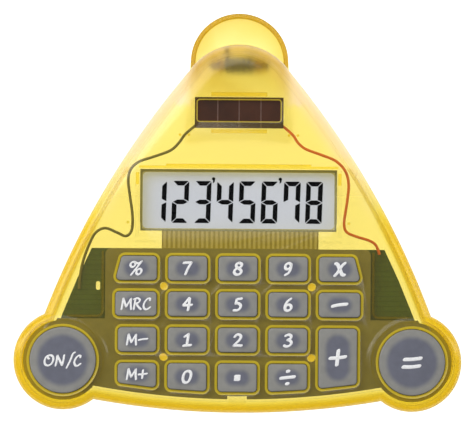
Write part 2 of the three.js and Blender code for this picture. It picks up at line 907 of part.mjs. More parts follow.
function circuitBoard() {
  const board = boardForm(boardEdgeInset, boardLobeRadius, boardTopEdgeY, boardBottom, boardTop);
  const toolHole = loft([boardBottom - weld, boardTop + weld].map((z) => (
    roundedOutline(
      rectangle(toolHoleX, toolHoleY, toolHoleWidth, toolHoleHeight),
      toolHoleWidth / 2 - fitGap / 2,
    )(0, z)
  )));
  return cut(board, toolHole, ...stakeHoles(boardBottom, boardTop));
}

function keypadMat() {
  const wings = boardForm(matEdgeInset, boardLobeRadius, matWingTopY, matBottom, matTop);
  const blockHeight = boardTopEdgeY - matWingTopY + overrun;
  const centre = boardTopEdgeY - blockHeight / 2;
  const outline = roundedOutline(rectangle(0, centre, 2 * matHalfWidth, blockHeight), matCorner);
  const body = join(wings, loft([outline(0, matBottom), outline(0, matTop)]));
  const keyHoles = keys.map((key) => {
    const hole = keyOutline(key);
    return loft([hole(keyClearance, matBottom - weld), hole(keyClearance, matTop + weld)]);
  });
  const roundHoles = roundKeys.map((key) => {
    const hole = roundKeyOutline(key);
    return loft([hole(keyClearance, matBottom - weld), hole(keyClearance, matTop + weld)]);
  });
  const notch = block(
    -matNotchHalfWidth,
    matNotchHalfWidth,
    bottomEdgeY,
    bottomEdgeY + matEdgeInset + matNotchDepth,
    matBottom - weld,
    matTop + weld,
  );
  const halfConnector = connectorWidth / 2 + fitGap;
  const relief = block(
    connectorX - halfConnector,
    connectorX + halfConnector,
    boardTopEdgeY - connectorTailLap - fitGap,
    boardTopEdgeY + weld,
    matBottom - weld,
    connectorTail + connectorThickness + fitGap,
  );
  return cut(body, ...keyHoles, ...roundHoles, notch, relief, ...stakeHoles(matBottom, matTop));
}

// Display

function flatPlate(minX, maxX, minY, maxY, minZ, maxZ) {
  return block(minX, maxX, minY, maxY, minZ, maxZ);
}

const halfGlass = glassWidth / 2;
const connectorHead = glassBottom - fitGap - connectorThickness;
const connectorTail = boardTop + fitGap;
const backGlassBottomY = glassBottomY + contactLedge;

function heatSealConnector() {
  const headStart = backGlassBottomY - fitGap;
  const headEnd = headStart - connectorLap;
  const tailStart = boardTopEdgeY + connectorLap / 2;
  const tailEnd = boardTopEdgeY - connectorTailLap;
  const under = [[headStart, connectorHead], [headEnd, connectorHead], [tailStart, connectorTail],
    [tailEnd, connectorTail]];
  const over = under.map(([y, z]) => [y, z + connectorThickness]).reverse();
  return prismAlongX(
    [...under, ...over],
    connectorX - connectorWidth / 2,
    connectorX + connectorWidth / 2,
  );
}

// Wires: each route is chosen by hand, from the solar cell to its pad on the board, and beside the
// display it keeps off the edge of the glass

const boardPadHeight = boardTop + fitGap + wireRadius;

const blackRoute = [
  [-9.9, 24.2], [-10.7, 22.9], [-12.3, 21.6], [-14, 20], [-15.6, 17.8], [-17.8, 15.9], [-22.4, 14.2],
  [-leadX + 1.4, 13], [-leadX - 0.6, 11], [-leadX - 1.2, 8.4], [-leadX - 0.8, 4.6],
  [-leadX - 0.2, 0.6], [-leadX, -2.6], [-leadX - 0.4, -5], [-leadX - 1.8, -6.1],
  [-31.2, -5.2], [-34.2, -4.1], [-36.6, -5.2], [-38.2, -8], [-39.8, -12.4],
  [-40.6, -16.4], [-40.8, -19.7],
];

const redRoute = [
  [9.9, 24.2], [10.7, 22.9], [12.3, 21.6], [14, 20], [15.2, 18.2], [17.2, 16.6], [21, 15.2],
  [leadX - 2.3, 13.6], [leadX + 0.2, 11], [leadX + 1.1, 7.6], [leadX + 0.8, 3.6],
  [leadX + 0.3, 0.2], [leadX, -2.6], [leadX + 0.6, -4.6], [leadX + 2.8, -5.7],
  [33.6, -6.8], [35.4, -8], [36.4, -10.4],
];

function wire(route) {
  const last = route.length - 1;
  const points = route.map(([x, y], i) => (
    new THREE.Vector3(x, y, i >= last - 1 ? boardPadHeight : wireHeight)
  ));
  return tube(new THREE.CatmullRomCurve3(points), wireRadius, wireSides, wireSteps);
}

// Clip, in a frame at the pin with its Y and Z level with the table

function floorAbovePin(y) {
  return hingeReach / Math.cos(tilt) + y * Math.tan(tilt);
}

function leverTop(y) {
  const plate = -hingeReach;
  const pad = floorAbovePin(y) - fitGap / Math.cos(tilt);
  const share = THREE.MathUtils.smoothstep(-y, jawRiseStart, jawRiseEnd);
  return THREE.MathUtils.lerp(plate, pad, share);
}

function leverOutline() {
  const centreY = leverDiscY - pinY;
  const cornerY = jawEndY - pinY;
  const reach = Math.hypot(jawHalfWidth, centreY - cornerY);
  const swing = Math.acos(leverDiscRadius / reach);
  const start = Math.atan2(cornerY - centreY, jawHalfWidth) + swing;
  const shape = new THREE.Shape();
  shape.absarc(0, centreY, leverDiscRadius, start, Math.PI - start, false);
  const endHalf = jawHalfWidth - jawCorner;
  const sagitta = jawEndRadius - Math.sqrt(jawEndRadius ** 2 - endHalf ** 2);
  const sweep = Math.asin(endHalf / jawEndRadius);
  shape.lineTo(-jawHalfWidth, cornerY + jawCorner);
  shape.quadraticCurveTo(-jawHalfWidth, cornerY, -endHalf, cornerY);
  const endCentreY = cornerY + sagitta - jawEndRadius;
  shape.absarc(0, endCentreY, jawEndRadius, Math.PI / 2 + sweep, Math.PI / 2 - sweep, true);
  shape.quadraticCurveTo(jawHalfWidth, cornerY, jawHalfWidth, cornerY + jawCorner);
  return shape;
}

const leverStripSteps = 14;
const rimStart = THREE.MathUtils.degToRad(-6);
const leverFacets = 16;

function clipLever() {
  const plan = new THREE.ExtrudeGeometry(leverOutline(), {
    depth: 2 * overrun + 2 * hingeReach,
    bevelEnabled: false,
    curveSegments: leverFacets,
  });
  plan.translate(0, 0, -hingeReach - leverThickness - weld);
  const topY = leverDiscY - pinY + leverDiscRadius + weld;
  const endY = jawEndY - pinY - weld;
  const ys = [topY, ...Array.from({ length: leverStripSteps + 1 }, (_, i) => (
    -jawRiseStart - ((-endY - jawRiseStart) * i) / leverStripSteps
  ))];
  const over = ys.map((y) => [y, leverTop(y)]);
  const under = ys.map((y) => [y, leverTop(y) - leverThickness]).reverse();
  const strip = prismAlongX([...over, ...under], -jawHalfWidth - weld, jawHalfWidth + weld);
  const plate = toSolid(plan).intersect(strip);
  const rimShape = new THREE.Shape();
  const centreY = leverDiscY - pinY;
  const rimEnd = Math.PI - rimStart;
  rimShape.absarc(0, centreY, leverDiscRadius, rimStart, rimEnd, false);
  rimShape.absarc(0, centreY, leverDiscRadius - leverRimWidth, rimEnd, rimStart, true);
  const rim = new THREE.ExtrudeGeometry(rimShape, {
    depth: leverRimHeight + weld,
    bevelEnabled: false,
    curveSegments: leverFacets,
  });
  rim.translate(0, 0, -hingeReach - weld);
  const ears = bothSides((side) => {
    const ends = [side * earInnerX, side * (earInnerX + earThickness)];
    const minX = Math.min(...ends);
    const maxX = Math.max(...ends);
    const foot = block(minX, maxX, -hingeRadius, hingeRadius, -hingeReach - weld, 0);
    return crosswise(0, 0, hingeRadius, minX, maxX).add(foot);
  });
  const bore = crosswise(0, 0, pinRadius + fitGap, -lugOuterX, lugOuterX);
  return cut(join(plate, toSolid(rim), ...ears), bore);
}

function springPath() {
  const start = (-coilPitch * coilTurns) / 2;
  const points = [new THREE.Vector3(start, springLegLength, coilRadius)];
  points.push(new THREE.Vector3(start, springLegLength / 2, coilRadius));
  const steps = coilTurns * coilStepsPerTurn;
  for (let i = 0; i <= steps; i += 1) {
    const turn = i / coilStepsPerTurn;
    const angle = Math.PI / 2 + 2 * Math.PI * turn;
    points.push(new THREE.Vector3(
      start + coilPitch * turn,
      coilRadius * Math.cos(angle),
      coilRadius * Math.sin(angle),
    ));
  }
  points.push(new THREE.Vector3(-start, springLegLength / 2, -coilRadius));
  points.push(new THREE.Vector3(-start, springLegLength, -coilRadius));
  return points;
}

// The least gap between turns, measured between points a full turn or so apart
function leastSpringGap(points) {
  const apart = coilStepsPerTurn / 2;
  let least = Infinity;
  points.forEach((point, i) => {
    points.slice(i + apart).forEach((other) => {
      least = Math.min(least, point.distanceTo(other) - 2 * wireSpringRadius);
    });
  });
  return least;
}

function clipSpring() {
  const points = springPath();
  console.log('least gap between the turns of the spring, mm:', leastSpringGap(points).toFixed(2));
  const path = new THREE.CatmullRomCurve3(points);
  const steps = Math.round((path.getLength() / (2 * Math.PI * coilRadius)) * coilStepsPerTurn);
  return tube(path, wireSpringRadius, coilSides, steps);
}

// Materials

const yellowPlastic = { color: 0xf5d23c, roughness: 0.3, metalness: 0 };
const greyRubber = { color: 0x87878b, roughness: 0.6, metalness: 0 };
const boardGreen = { color: 0x2f5a34, roughness: 0.5, metalness: 0 };
const clearGlass = { color: 0xc6c6c8, roughness: 0.08, metalness: 0 };
const steel = { color: 0x9a9a9c, roughness: 0.35, metalness: 1 };

const calculator = new THREE.Group();
const face = new THREE.Group();
face.rotation.x = tilt;
calculator.add(face);

function addPiece(name, solid, look) {
  const mesh = new THREE.Mesh(toGeometry(solid), new THREE.MeshStandardMaterial(look));
  mesh.name = name;
  face.add(mesh);
  return mesh;
}

function addClipPiece(name, solid, look) {
  const mesh = addPiece(name, solid, look);
  mesh.position.set(0, pinY, pinZ);
  mesh.rotation.x = -tilt;
}

addPiece('front_shell', frontShell(), yellowPlastic);
addPiece('rear_shell', rearShell(), yellowPlastic);
addPiece('keypad_mat', keypadMat(), greyRubber);
addPiece('circuit_board', circuitBoard(), boardGreen);

const chipCap = revolve([
  [0, boardBottom - fitGap - chipCapHeight],
  [chipCapRadius / 2, boardBottom - fitGap - chipCapHeight],
  [chipCapRadius, boardBottom - fitGap - chipCapHeight / 4],
  [chipCapRadius, boardBottom - fitGap],
  [0, boardBottom - fitGap],
], 0, chipCapY, holeFacets);
addPiece('chip_cap', chipCap, { color: 0x101012, roughness: 0.35, metalness: 0 });

const capacitor = crosswise(
  capacitorY,
  boardBottom - fitGap - capacitorRadius,
  capacitorRadius,
  capacitorX - capacitorLength / 2,
  capacitorX + capacitorLength / 2,
);
addPiece('reservoir_capacitor', capacitor, { color: 0x26304e, roughness: 0.4, metalness: 0 });

const frontGlass = flatPlate(-halfGlass, halfGlass, glassBottomY, glassTopY, glassBottom, glassTop);
addPiece('lcd_front_glass', frontGlass, clearGlass);
const backGlass = flatPlate(
  -halfGlass,
  halfGlass,
  backGlassBottomY,
  glassTopY,
  backGlassBottom,
  backGlassTop,
);
addPiece('lcd_back_glass', backGlass, clearGlass);
const reflector = flatPlate(
  -halfGlass,
  halfGlass,
  backGlassBottomY,
  glassTopY,
  reflectorBottom,
  reflectorTop,
);
addPiece('lcd_reflector', reflector, { color: 0xb8b8ba, roughness: 0.4, metalness: 0.6 });
addPiece('heat_seal_connector', heatSealConnector(), { color: 0xa08c30, roughness: 0.5, metalness: 0 });

const cell = flatPlate(
  -cellWidth / 2,
  cellWidth / 2,
  cellCentreY - cellHeight / 2,
  cellCentreY + cellHeight / 2,
  cellBottom,
  cellTop,
);
addPiece('solar_cell', cell, { color: 0x45261c, roughness: 0.15, metalness: 0 });
addPiece('black_wire', wire(blackRoute), { color: 0x1c1c16, roughness: 0.5, metalness: 0 });
addPiece('red_wire', wire(redRoute), { color: 0xd8481c, roughness: 0.5, metalness: 0 });

keys.forEach((key) => {
  const pill = roundedOutline(key.pill, pillHeight / 2 - fitGap);
  addPiece(key.name, keySolid(keyOutline(key), pill, faceHeight + key.proud), greyRubber);
});
roundKeys.forEach((key) => {
  const pill = circleOutline(key.side * lobeX, lobeY, roundPillRadius);
  const top = faceHeight + turretRise + roundKeyProud;
  addPiece(key.name, keySolid(roundKeyOutline(key), pill, top), greyRubber);
});

addClipPiece('clip_lever', clipLever(), yellowPlastic);
const pin = crosswise(0, 0, pinRadius, -lugOuterX - pinOverhang, lugOuterX + pinOverhang);
addClipPiece('clip_pin', pin, steel);
addClipPiece('clip_spring', clipSpring(), steel);

// The origin is the middle of the footprint, on the table
calculator.updateMatrixWorld(true);
const extent = new THREE.Box3().setFromObject(calculator, true);
const middle = extent.getCenter(new THREE.Vector3());
face.position.set(-middle.x, -middle.y, -extent.min.z);

export default calculator;
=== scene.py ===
# %% [markdown]
# # A clip calculator in clear yellow plastic
#
# The real object is a small solar calculator. A wedge-shaped housing of clear yellow plastic holds a
# display, a solar cell, a circuit board and a rubber keypad, and all of them show through it. A clip
# with a round finger tab sits on its back. The measured parts come from a CAD model. This lesson
# gives them fine surfaces, finishes, a light and a camera, and it keeps the CAD model's sizes.

import json
import math

import bpy
import numpy as np
from mathutils import Matrix, Vector


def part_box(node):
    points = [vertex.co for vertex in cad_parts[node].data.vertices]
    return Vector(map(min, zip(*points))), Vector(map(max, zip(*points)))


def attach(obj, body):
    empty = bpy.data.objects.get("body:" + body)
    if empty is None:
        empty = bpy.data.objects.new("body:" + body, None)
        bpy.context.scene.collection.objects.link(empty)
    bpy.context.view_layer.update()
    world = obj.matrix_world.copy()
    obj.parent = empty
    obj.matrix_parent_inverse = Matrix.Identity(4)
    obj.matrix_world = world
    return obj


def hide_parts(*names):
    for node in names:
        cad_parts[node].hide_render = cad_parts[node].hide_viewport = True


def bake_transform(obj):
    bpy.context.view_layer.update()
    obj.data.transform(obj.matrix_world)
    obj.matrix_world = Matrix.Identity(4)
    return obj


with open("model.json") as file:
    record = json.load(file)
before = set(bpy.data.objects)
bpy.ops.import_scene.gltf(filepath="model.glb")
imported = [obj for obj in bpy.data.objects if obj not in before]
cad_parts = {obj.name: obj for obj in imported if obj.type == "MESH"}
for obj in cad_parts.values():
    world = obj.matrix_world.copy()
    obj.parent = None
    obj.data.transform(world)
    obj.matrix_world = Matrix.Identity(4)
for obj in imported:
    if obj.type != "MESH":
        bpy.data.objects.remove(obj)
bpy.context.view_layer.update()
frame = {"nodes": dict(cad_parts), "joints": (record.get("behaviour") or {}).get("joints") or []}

# %% [markdown]
# ## Two frames
#
# The housing is a wedge, so its face slopes by five degrees when it lies on a table. Everything on
# the face is easier to place in a frame that lies on the face: X to the right, Y towards the narrow
# end, Z out of the face, in millimetres, with Z = 0 where the two shells meet. One matrix takes a
# point from there to the table. The slope comes from the direction in which a key travels, and the
# origin from the middle of the display glass, whose place on the face is known.

# %% From the face to the table
MM = 0.001

glass_left, glass_right = -25.3, 25.3
glass_low, glass_high = -4.7, 11.2
glass_bottom, glass_top = 2.6, 3.7

key_travel = next(j for j in frame["joints"] if j["name"] == "press_5")["axis"]
hinge = next(j for j in frame["joints"] if j["name"] == "clip_hinge")
slope = math.atan2(-key_travel[1], key_travel[2])
turn = Matrix.Rotation(slope, 4, "X") @ Matrix.Scale(MM, 4)
glass_middle = Vector((
    (glass_left + glass_right) / 2,
    (glass_low + glass_high) / 2,
    (glass_bottom + glass_top) / 2,
))
low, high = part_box("lcd_front_glass")
face_to_table = Matrix.Translation((low + high) / 2 - turn @ glass_middle) @ turn
pin_to_table = Matrix.Translation(Vector(hinge["pos_m"])) @ Matrix.Scale(MM, 4)
pin = face_to_table.inverted() @ Vector(hinge["pos_m"])
print("slope, degrees:", round(math.degrees(slope), 2))
print("pin in the face frame, mm:", tuple(round(v, 3) for v in pin))

# %% [markdown]
# ## Solids by lofting
#
# Most moulded parts are stacks of rings: an outline at one height, the same outline a little smaller
# at the next, and so on round an edge. A loft skins such a stack and closes both ends. A loft's mesh
# has few surprises, so it is a safe partner for joining and cutting later. A face attribute named
# edge says which faces look into the thickness of the plastic, because clear plastic is much deeper
# in colour there. Its value also sets the strength of a painted glow on the face: an emission and a
# lighter colour that stand in for light which ran inside the plastic.

# %% Rings, lofts and solids
def placed(name, data):
    """A new object in the scene."""
    made = bpy.data.objects.new(name, data)
    bpy.context.collection.objects.link(made)
    return made


def set_values(mesh, name, values, domain="POINT", kind="FLOAT"):
    """A new attribute with one value or one vector for each point, face or corner."""
    field = "vector" if kind == "FLOAT_VECTOR" else "value"
    mesh.attributes.new(name, kind, domain).data.foreach_set(field, np.ravel(values))


def points_of(mesh):
    return np.array([v.co for v in mesh.vertices])


def solid(points, faces, edge=0.0):
    """A mesh object in face millimetres; edge goes on every face: its depth of colour and painted glow."""
    mesh = bpy.data.meshes.new("solid")
    mesh.from_pydata([tuple(p) for p in points], [], faces)
    set_values(mesh, "edge", [edge] * len(faces), "FACE")
    return placed("solid", mesh)


def loft(rings, edge=0.0):
    """A closed skin over rings of equally many points, counter-clockwise and from low to high."""
    count = len(rings[0])
    points = np.vstack(rings)
    faces = []
    for start in range(0, (len(rings) - 1) * count, count):
        for i in range(count):
            after = (i + 1) % count
            faces.append((start + i, start + after, start + count + after, start + count + i))
    faces.append(tuple(reversed(range(count))))
    faces.append(tuple(range(len(points) - count, len(points))))
    return solid(points, faces, edge)


def at_height(outline, height):
    """An outline of (x, y) points as a ring at one height, or at a height for each point."""
    heights = np.broadcast_to(height, len(outline))
    return np.column_stack((outline, heights))


def slab(outline, bottom, top, edge=0.0):
    """A straight solid over an outline."""
    return loft([at_height(outline, bottom), at_height(outline, top)], edge)


def block(x_ends, y_ends, z_ends, edge=0.1):
    (left, right), (near, far), (bottom, top) = sorted(x_ends), sorted(y_ends), sorted(z_ends)
    outline = np.array([(left, near), (right, near), (right, far), (left, far)])
    return slab(outline, bottom, top, edge)


def directions(angles):
    """Points on a circle of radius 1."""
    return np.column_stack((np.cos(angles), np.sin(angles)))


def circle(x, y, radius, steps=48):
    return (x, y) + radius * directions(np.arange(steps) * 2 * np.pi / steps)


def edge_round(steps):
    """A quarter round from its upright end to its flat end: shares inwards and below the top."""
    return [(1 - math.cos(angle), 1 - math.sin(angle)) for angle in np.linspace(0, math.pi / 2, steps)]


def post(x, y, radius, bottom, top, steps=28, edge=0.3):
    return slab(circle(x, y, radius, steps), bottom, top, edge)


def crosswise(y, z, radius, x_ends, steps=32, edge=0.3):
    """A round bar along X."""
    made = post(0, 0, radius, min(x_ends), max(x_ends), steps, edge)
    made.data.transform(Matrix.Translation((0, y, z)) @ Matrix.Rotation(math.pi / 2, 4, "Y"))
    return made


def rounded(corners, radius, steps=8):
    """A convex outline through corners that go counter-clockwise, all rounded alike."""
    corners = np.array(corners, float)
    ahead = np.roll(corners, -1, axis=0) - corners
    angles = np.arctan2(ahead[:, 1], ahead[:, 0]) - np.pi / 2
    reaches = (corners * np.column_stack((np.cos(angles), np.sin(angles)))).sum(1) - radius
    points = []
    for i, after in enumerate(angles):
        before = angles[i - 1]
        spread = math.sin(after - before)
        x = (reaches[i - 1] * math.sin(after) - reaches[i] * math.sin(before)) / spread
        y = (reaches[i] * math.cos(before) - reaches[i - 1] * math.cos(after)) / spread
        bend = before + np.linspace(0, (after - before) % (2 * math.pi), steps + 1)
        points.append((x, y) + radius * directions(bend))
    return np.vstack(points)


def carve(body, *tools):
    """Joins or cuts with each (operation, solid), all in one evaluation, and drops the tools."""
    for operation, tool in tools:
        modifier = body.modifiers.new("carve", "BOOLEAN")
        modifier.solver = "MANIFOLD"
        modifier.operation = operation
        modifier.object = tool
    shown = body.evaluated_get(bpy.context.evaluated_depsgraph_get())
    body.data = bpy.data.meshes.new_from_object(shown)
    body.modifiers.clear()
    for _, tool in tools:
        bpy.data.objects.remove(tool)
    return body


def joining(solids):
    """A UNION with each solid, for carve."""
    return [("UNION", each) for each in solids]


def together(solids):
    """Solids that don't touch, as one object."""
    parts, faces, depths, start = [], [], [], 0
    for each in solids:
        points = points_of(each.data)
        parts.append(points)
        faces += [tuple(start + i for i in p.vertices) for p in each.data.polygons]
        depths += [d.value for d in each.data.attributes["edge"].data]
        start += len(points)
        bpy.data.objects.remove(each)
    whole = solid(np.vstack(parts), faces)
    whole.data.attributes["edge"].data.foreach_set("value", depths)
    return whole


def finished(made, name, body, material, sharp=32, place=face_to_table, nodes=()):
    """Names a piece, moves it to the table's frame, smooths it and hands it to its body."""
    made.name = made.data.name = name
    if "edge" in made.data.attributes:
        made.data.attributes.remove(made.data.attributes["edge"])
    made.data.transform(place)
    made.data.shade_smooth()
    made.data.set_sharp_from_angle(angle=math.radians(sharp))
    made.data.materials.clear()
    made.data.materials.append(material)
    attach(made, body)
    if nodes:
        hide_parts(*nodes)
    print(f"{name}: {len(made.data.polygons)} faces on {body}")
    return made

# %% [markdown]
# ## Camera
#
# The photograph was taken from straight above the face through a long lens, since the clip behind
# the apex shows at nearly the same scale as the face in front of it. The object is turned by less
# than half a degree. The focal length follows from how many millimetres of the face one pixel covers.

# %% Camera
picture_width = 475
face_mm_per_pixel = 0.2566
camera_distance = 1500
face_height = 5.6
picture_middle = (-0.24, -0.09)
roll = math.radians(0.42)

lens = bpy.data.cameras.new("camera")
lens.sensor_width = 36
lens.lens = lens.sensor_width * camera_distance / (picture_width * face_mm_per_pixel)
lens.clip_start = 0.01
lens.clip_end = 6
camera = placed("camera", lens)
eye = face_to_table @ Vector((*picture_middle, face_height + camera_distance))
camera.matrix_world = (
    Matrix.Translation(eye) @ Matrix.Rotation(slope, 4, "X") @ Matrix.Rotation(roll, 4, "Z")
)
bpy.context.scene.camera = camera
bpy.context.scene.view_settings.view_transform = "Standard"
print("focal length, mm:", round(lens.lens, 1))

# %% [markdown]
# ## Light and ground
#
# Clear plastic shows best in a white light tent: soft light from all round, one large lamp above, and
# a narrow strip on each side that draws a bright streak on the shoulders. The ground is white card.
# It takes the shadows. Its own glow is for rays that the camera sends out, straight, off a gloss or
# through glass, so the picture's ground reads as white without more light on the object.

# %% Colours and nodes
def linear(code, alpha=1.0):
    """An sRGB hex colour as linear light."""
    shares = [int(code[i:i + 2], 16) / 255 for i in (1, 3, 5)]
    return (*[s / 12.92 if s <= 0.04045 else ((s + 0.055) / 1.055) ** 2.4 for s in shares], alpha)


def add(tree, kind, inputs=None, **settings):
    """One node: its settings, and for each input a value, or the node or socket that feeds it."""
    node = tree.nodes.new(kind)
    for name, value in settings.items():
        setattr(node, name, value)
    for name, value in (inputs or {}).items():
        if isinstance(value, bpy.types.Node):
            value = value.outputs[0]
        if isinstance(value, bpy.types.NodeSocket):
            tree.links.new(value, node.inputs[name])
        else:
            node.inputs[name].default_value = value
    return node


def new_finish(name):
    material = bpy.data.materials.new(name)
    material.use_nodes = True
    material.node_tree.nodes.clear()
    return material, material.node_tree


def ends_in(tree, shader):
    add(tree, "ShaderNodeOutputMaterial", {"Surface": shader})


# %% Tent, lamp and card
tent_strength, card_glow = 0.3, 1.28
world = bpy.data.worlds.new("light tent")
world.use_nodes = True
background = world.node_tree.nodes["Background"].inputs
background["Color"].default_value = (1, 1, 1, 1)
background["Strength"].default_value = tent_strength
bpy.context.scene.world = world

# Each lamp has a place, a width and depth in metres, and a power in watts.
lamps = {
    "overhead": ((-0.32, 0.34, 0.8), (0.8, 0.8), 4.6),
    "left strip": ((-0.62, 0.12, 0.34), (0.16, 0.7), 1.3),
    "right strip": ((0.62, 0.12, 0.34), (0.16, 0.7), 1.1),
}
for name, (place, (width, depth), power) in lamps.items():
    lamp = bpy.data.lights.new(name, "AREA")
    lamp.shape = "RECTANGLE"
    lamp.size = width
    lamp.size_y = depth
    lamp.energy = power
    holder = placed(name, lamp)
    aim = Vector(place).to_track_quat("Z", "Y")
    holder.matrix_world = Matrix.Translation(place) @ aim.to_matrix().to_4x4()

card, tree = new_finish("white card")
seen = add(tree, "ShaderNodeLightPath").outputs
lift = add(tree, "ShaderNodeMath", {
    0: seen["Is Camera Ray"], 1: seen["Is Glossy Ray"],
}, operation="MAXIMUM")
lift = add(tree, "ShaderNodeMath", {0: lift, 1: seen["Is Transmission Ray"]}, operation="MAXIMUM")
# The card's felt side has a grain of about 1.1 mm, so 900 grains in a metre.
grain = add(tree, "ShaderNodeTexNoise", {
    "Vector": add(tree, "ShaderNodeTexCoord").outputs["Object"], "Scale": 900,
})
felt = add(tree, "ShaderNodeBump", {"Height": grain, "Strength": 0.02})
paper = add(tree, "ShaderNodeBsdfDiffuse", {"Color": linear("#A8A8A8"), "Normal": felt})
glow = add(tree, "ShaderNodeEmission", {"Color": (1, 1, 1, 1), "Strength": card_glow})
no_glow = add(tree, "ShaderNodeEmission", {"Strength": 0.0})
shown_glow = add(tree, "ShaderNodeMixShader", {"Fac": lift, 1: no_glow, 2: glow})
both = add(tree, "ShaderNodeAddShader", {0: paper, 1: shown_glow})
ends_in(tree, both)

ground_half, ground_level = 1.5, -0.0001
ground_corners = [(-1, -1), (1, -1), (1, 1), (-1, 1)]
ground = solid([(x * ground_half, y * ground_half, ground_level) for x, y in ground_corners], [(0, 1, 2, 3)])
ground.name = "ground_card"
ground.data.materials.append(card)
print("lamps:", list(lamps), "and a card of", 2 * ground_half, "m")

# %% [markdown]
# ## The housing's outline
#
# Seen from the front, the housing is a triangle of three wide arcs. Small arcs round its corners, and
# two round turrets stand on the lower ones. The two arcs of a side and of the bottom are given by
# their radii, and each small arc by where it touches its neighbours. Points are kept with the
# direction that faces outwards, so that any smaller ring is the same outline moved inwards.

# %% Stations round the housing
apex_radius = 15.5
apex_centre = np.array([0, 27.9])
side_radius = 215
side_point = np.array([49.5, -25.6])
bottom_radius = 212.5
bottom_edge = -51.36
corner_radius = 9
lobe_x, lobe_y, lobe_radius = 44.8, -38, 12.8


def crossing(centre_a, radius_a, centre_b, radius_b, side=-1):
    """Where two circles cross, on the given side of the line between their centres."""
    between = centre_b - centre_a
    distance = np.hypot(*between)
    between = between / distance
    along = (radius_a ** 2 - radius_b ** 2 + distance ** 2) / (2 * distance)
    across = side * math.sqrt(max(radius_a ** 2 - along ** 2, 0))
    return centre_a + along * between + across * np.array([-between[1], between[0]])


side_centre = crossing(apex_centre, side_radius - apex_radius, side_point, side_radius)
bottom_centre = np.array([0, bottom_edge + bottom_radius])
corner_centre = crossing(
    side_centre, side_radius - corner_radius, bottom_centre, bottom_radius - corner_radius
)


def heading(start, end):
    return math.atan2(end[1] - start[1], end[0] - start[0])


def arc(centre, radius, start, end, steps):
    """Points and outward directions along an arc, without its last point."""
    angles = start + (end - start) * np.arange(steps) / steps
    outward = directions(angles)
    return np.column_stack((centre + radius * outward, outward))


to_corner = heading(bottom_centre, corner_centre)
to_side = heading(side_centre, corner_centre)
to_apex = heading(side_centre, apex_centre)
right_half = np.vstack([
    arc(bottom_centre, bottom_radius, -math.pi / 2, to_corner, 30),
    arc(corner_centre, corner_radius, to_corner, to_side, 10),
    arc(side_centre, side_radius, to_side, to_apex, 60),
    arc(apex_centre, apex_radius, to_apex, math.pi / 2, 22),
    arc(apex_centre, apex_radius, math.pi / 2, math.pi, 1)[:1],
])
left_half = right_half[1:-1][::-1] * (-1, 1, -1, 1)
stations = np.vstack((right_half, left_half))
print("stations round the housing:", len(stations))


def housing_ring(inset, height):
    """The outline moved inwards; inset and height may be values or functions of Y."""
    y = stations[:, 1]
    inward = inset(y) if callable(inset) else np.full(len(y), float(inset))
    outline = stations[:, :2] - stations[:, 2:] * inward[:, None]
    heights = height(outline[:, 1]) if callable(height) else height
    return at_height(outline, heights)


def smooth_share(value, start, end):
    share = np.clip((value - start) / (end - start), 0, 1)
    return share * share * (3 - 2 * share)


def inset_from_outline(x, y):
    """How far a point lies inside the housing's outline, turrets included."""
    side = side_radius - np.hypot(np.abs(x) - side_centre[0], y - side_centre[1])
    bottom = bottom_radius - np.hypot(x, y - bottom_centre[1])
    body = np.minimum(side, bottom)
    apex = apex_radius - np.hypot(x, y - apex_centre[1])
    body = np.where(y > apex_centre[1], np.minimum(body, apex), body)
    turret = lobe_radius - np.hypot(np.abs(x) - lobe_x, y - lobe_y)
    return np.maximum(body, turret)

# %% [markdown]
# ## Clear yellow plastic
#
# The housing is injection-moulded, transparent yellow polystyrene. Light goes straight through a thin
# wall and comes out pale yellow, but light that runs along inside a wall gathers colour and leaves at
# the edges as deep amber. A refracting shader would need very many rays to light the parts inside, so
# this one is a tinted see-through surface with a gloss coat and a little milkiness. Three attributes
# steer it. The first says how much plastic the eye looks through, up to 1 on a cut face. Below 0,
# down to -1 on the palest part, it paints a pale highlight along the neck's outline: the shoulders'
# reflection of the bright tent. The second paints the amber light where it leaves a wall: a glow that
# is no lamp, and a lighter, milkier body colour. frost says where the plastic only lets blurred shapes
# through. The clip is thinner, so its tints are paler.

# %% Polystyrene finish and its depth of colour
def polish_share(tree, index):
    """How much a face mirrors. Light goes straight on through it, so both its sides mirror alike."""
    behind = add(tree, "ShaderNodeNewGeometry").outputs["Backfacing"]
    either = add(tree, "ShaderNodeMapRange", {"Value": behind, "To Min": index, "To Max": 1 / index})
    return add(tree, "ShaderNodeFresnel", {"IOR": either})


# Painted glow: the strength of its emission, and edge_milk is the milky share of a fully glowing face.
piped_light = 0.15
clear_milk, edge_milk = 0.022, 0.85


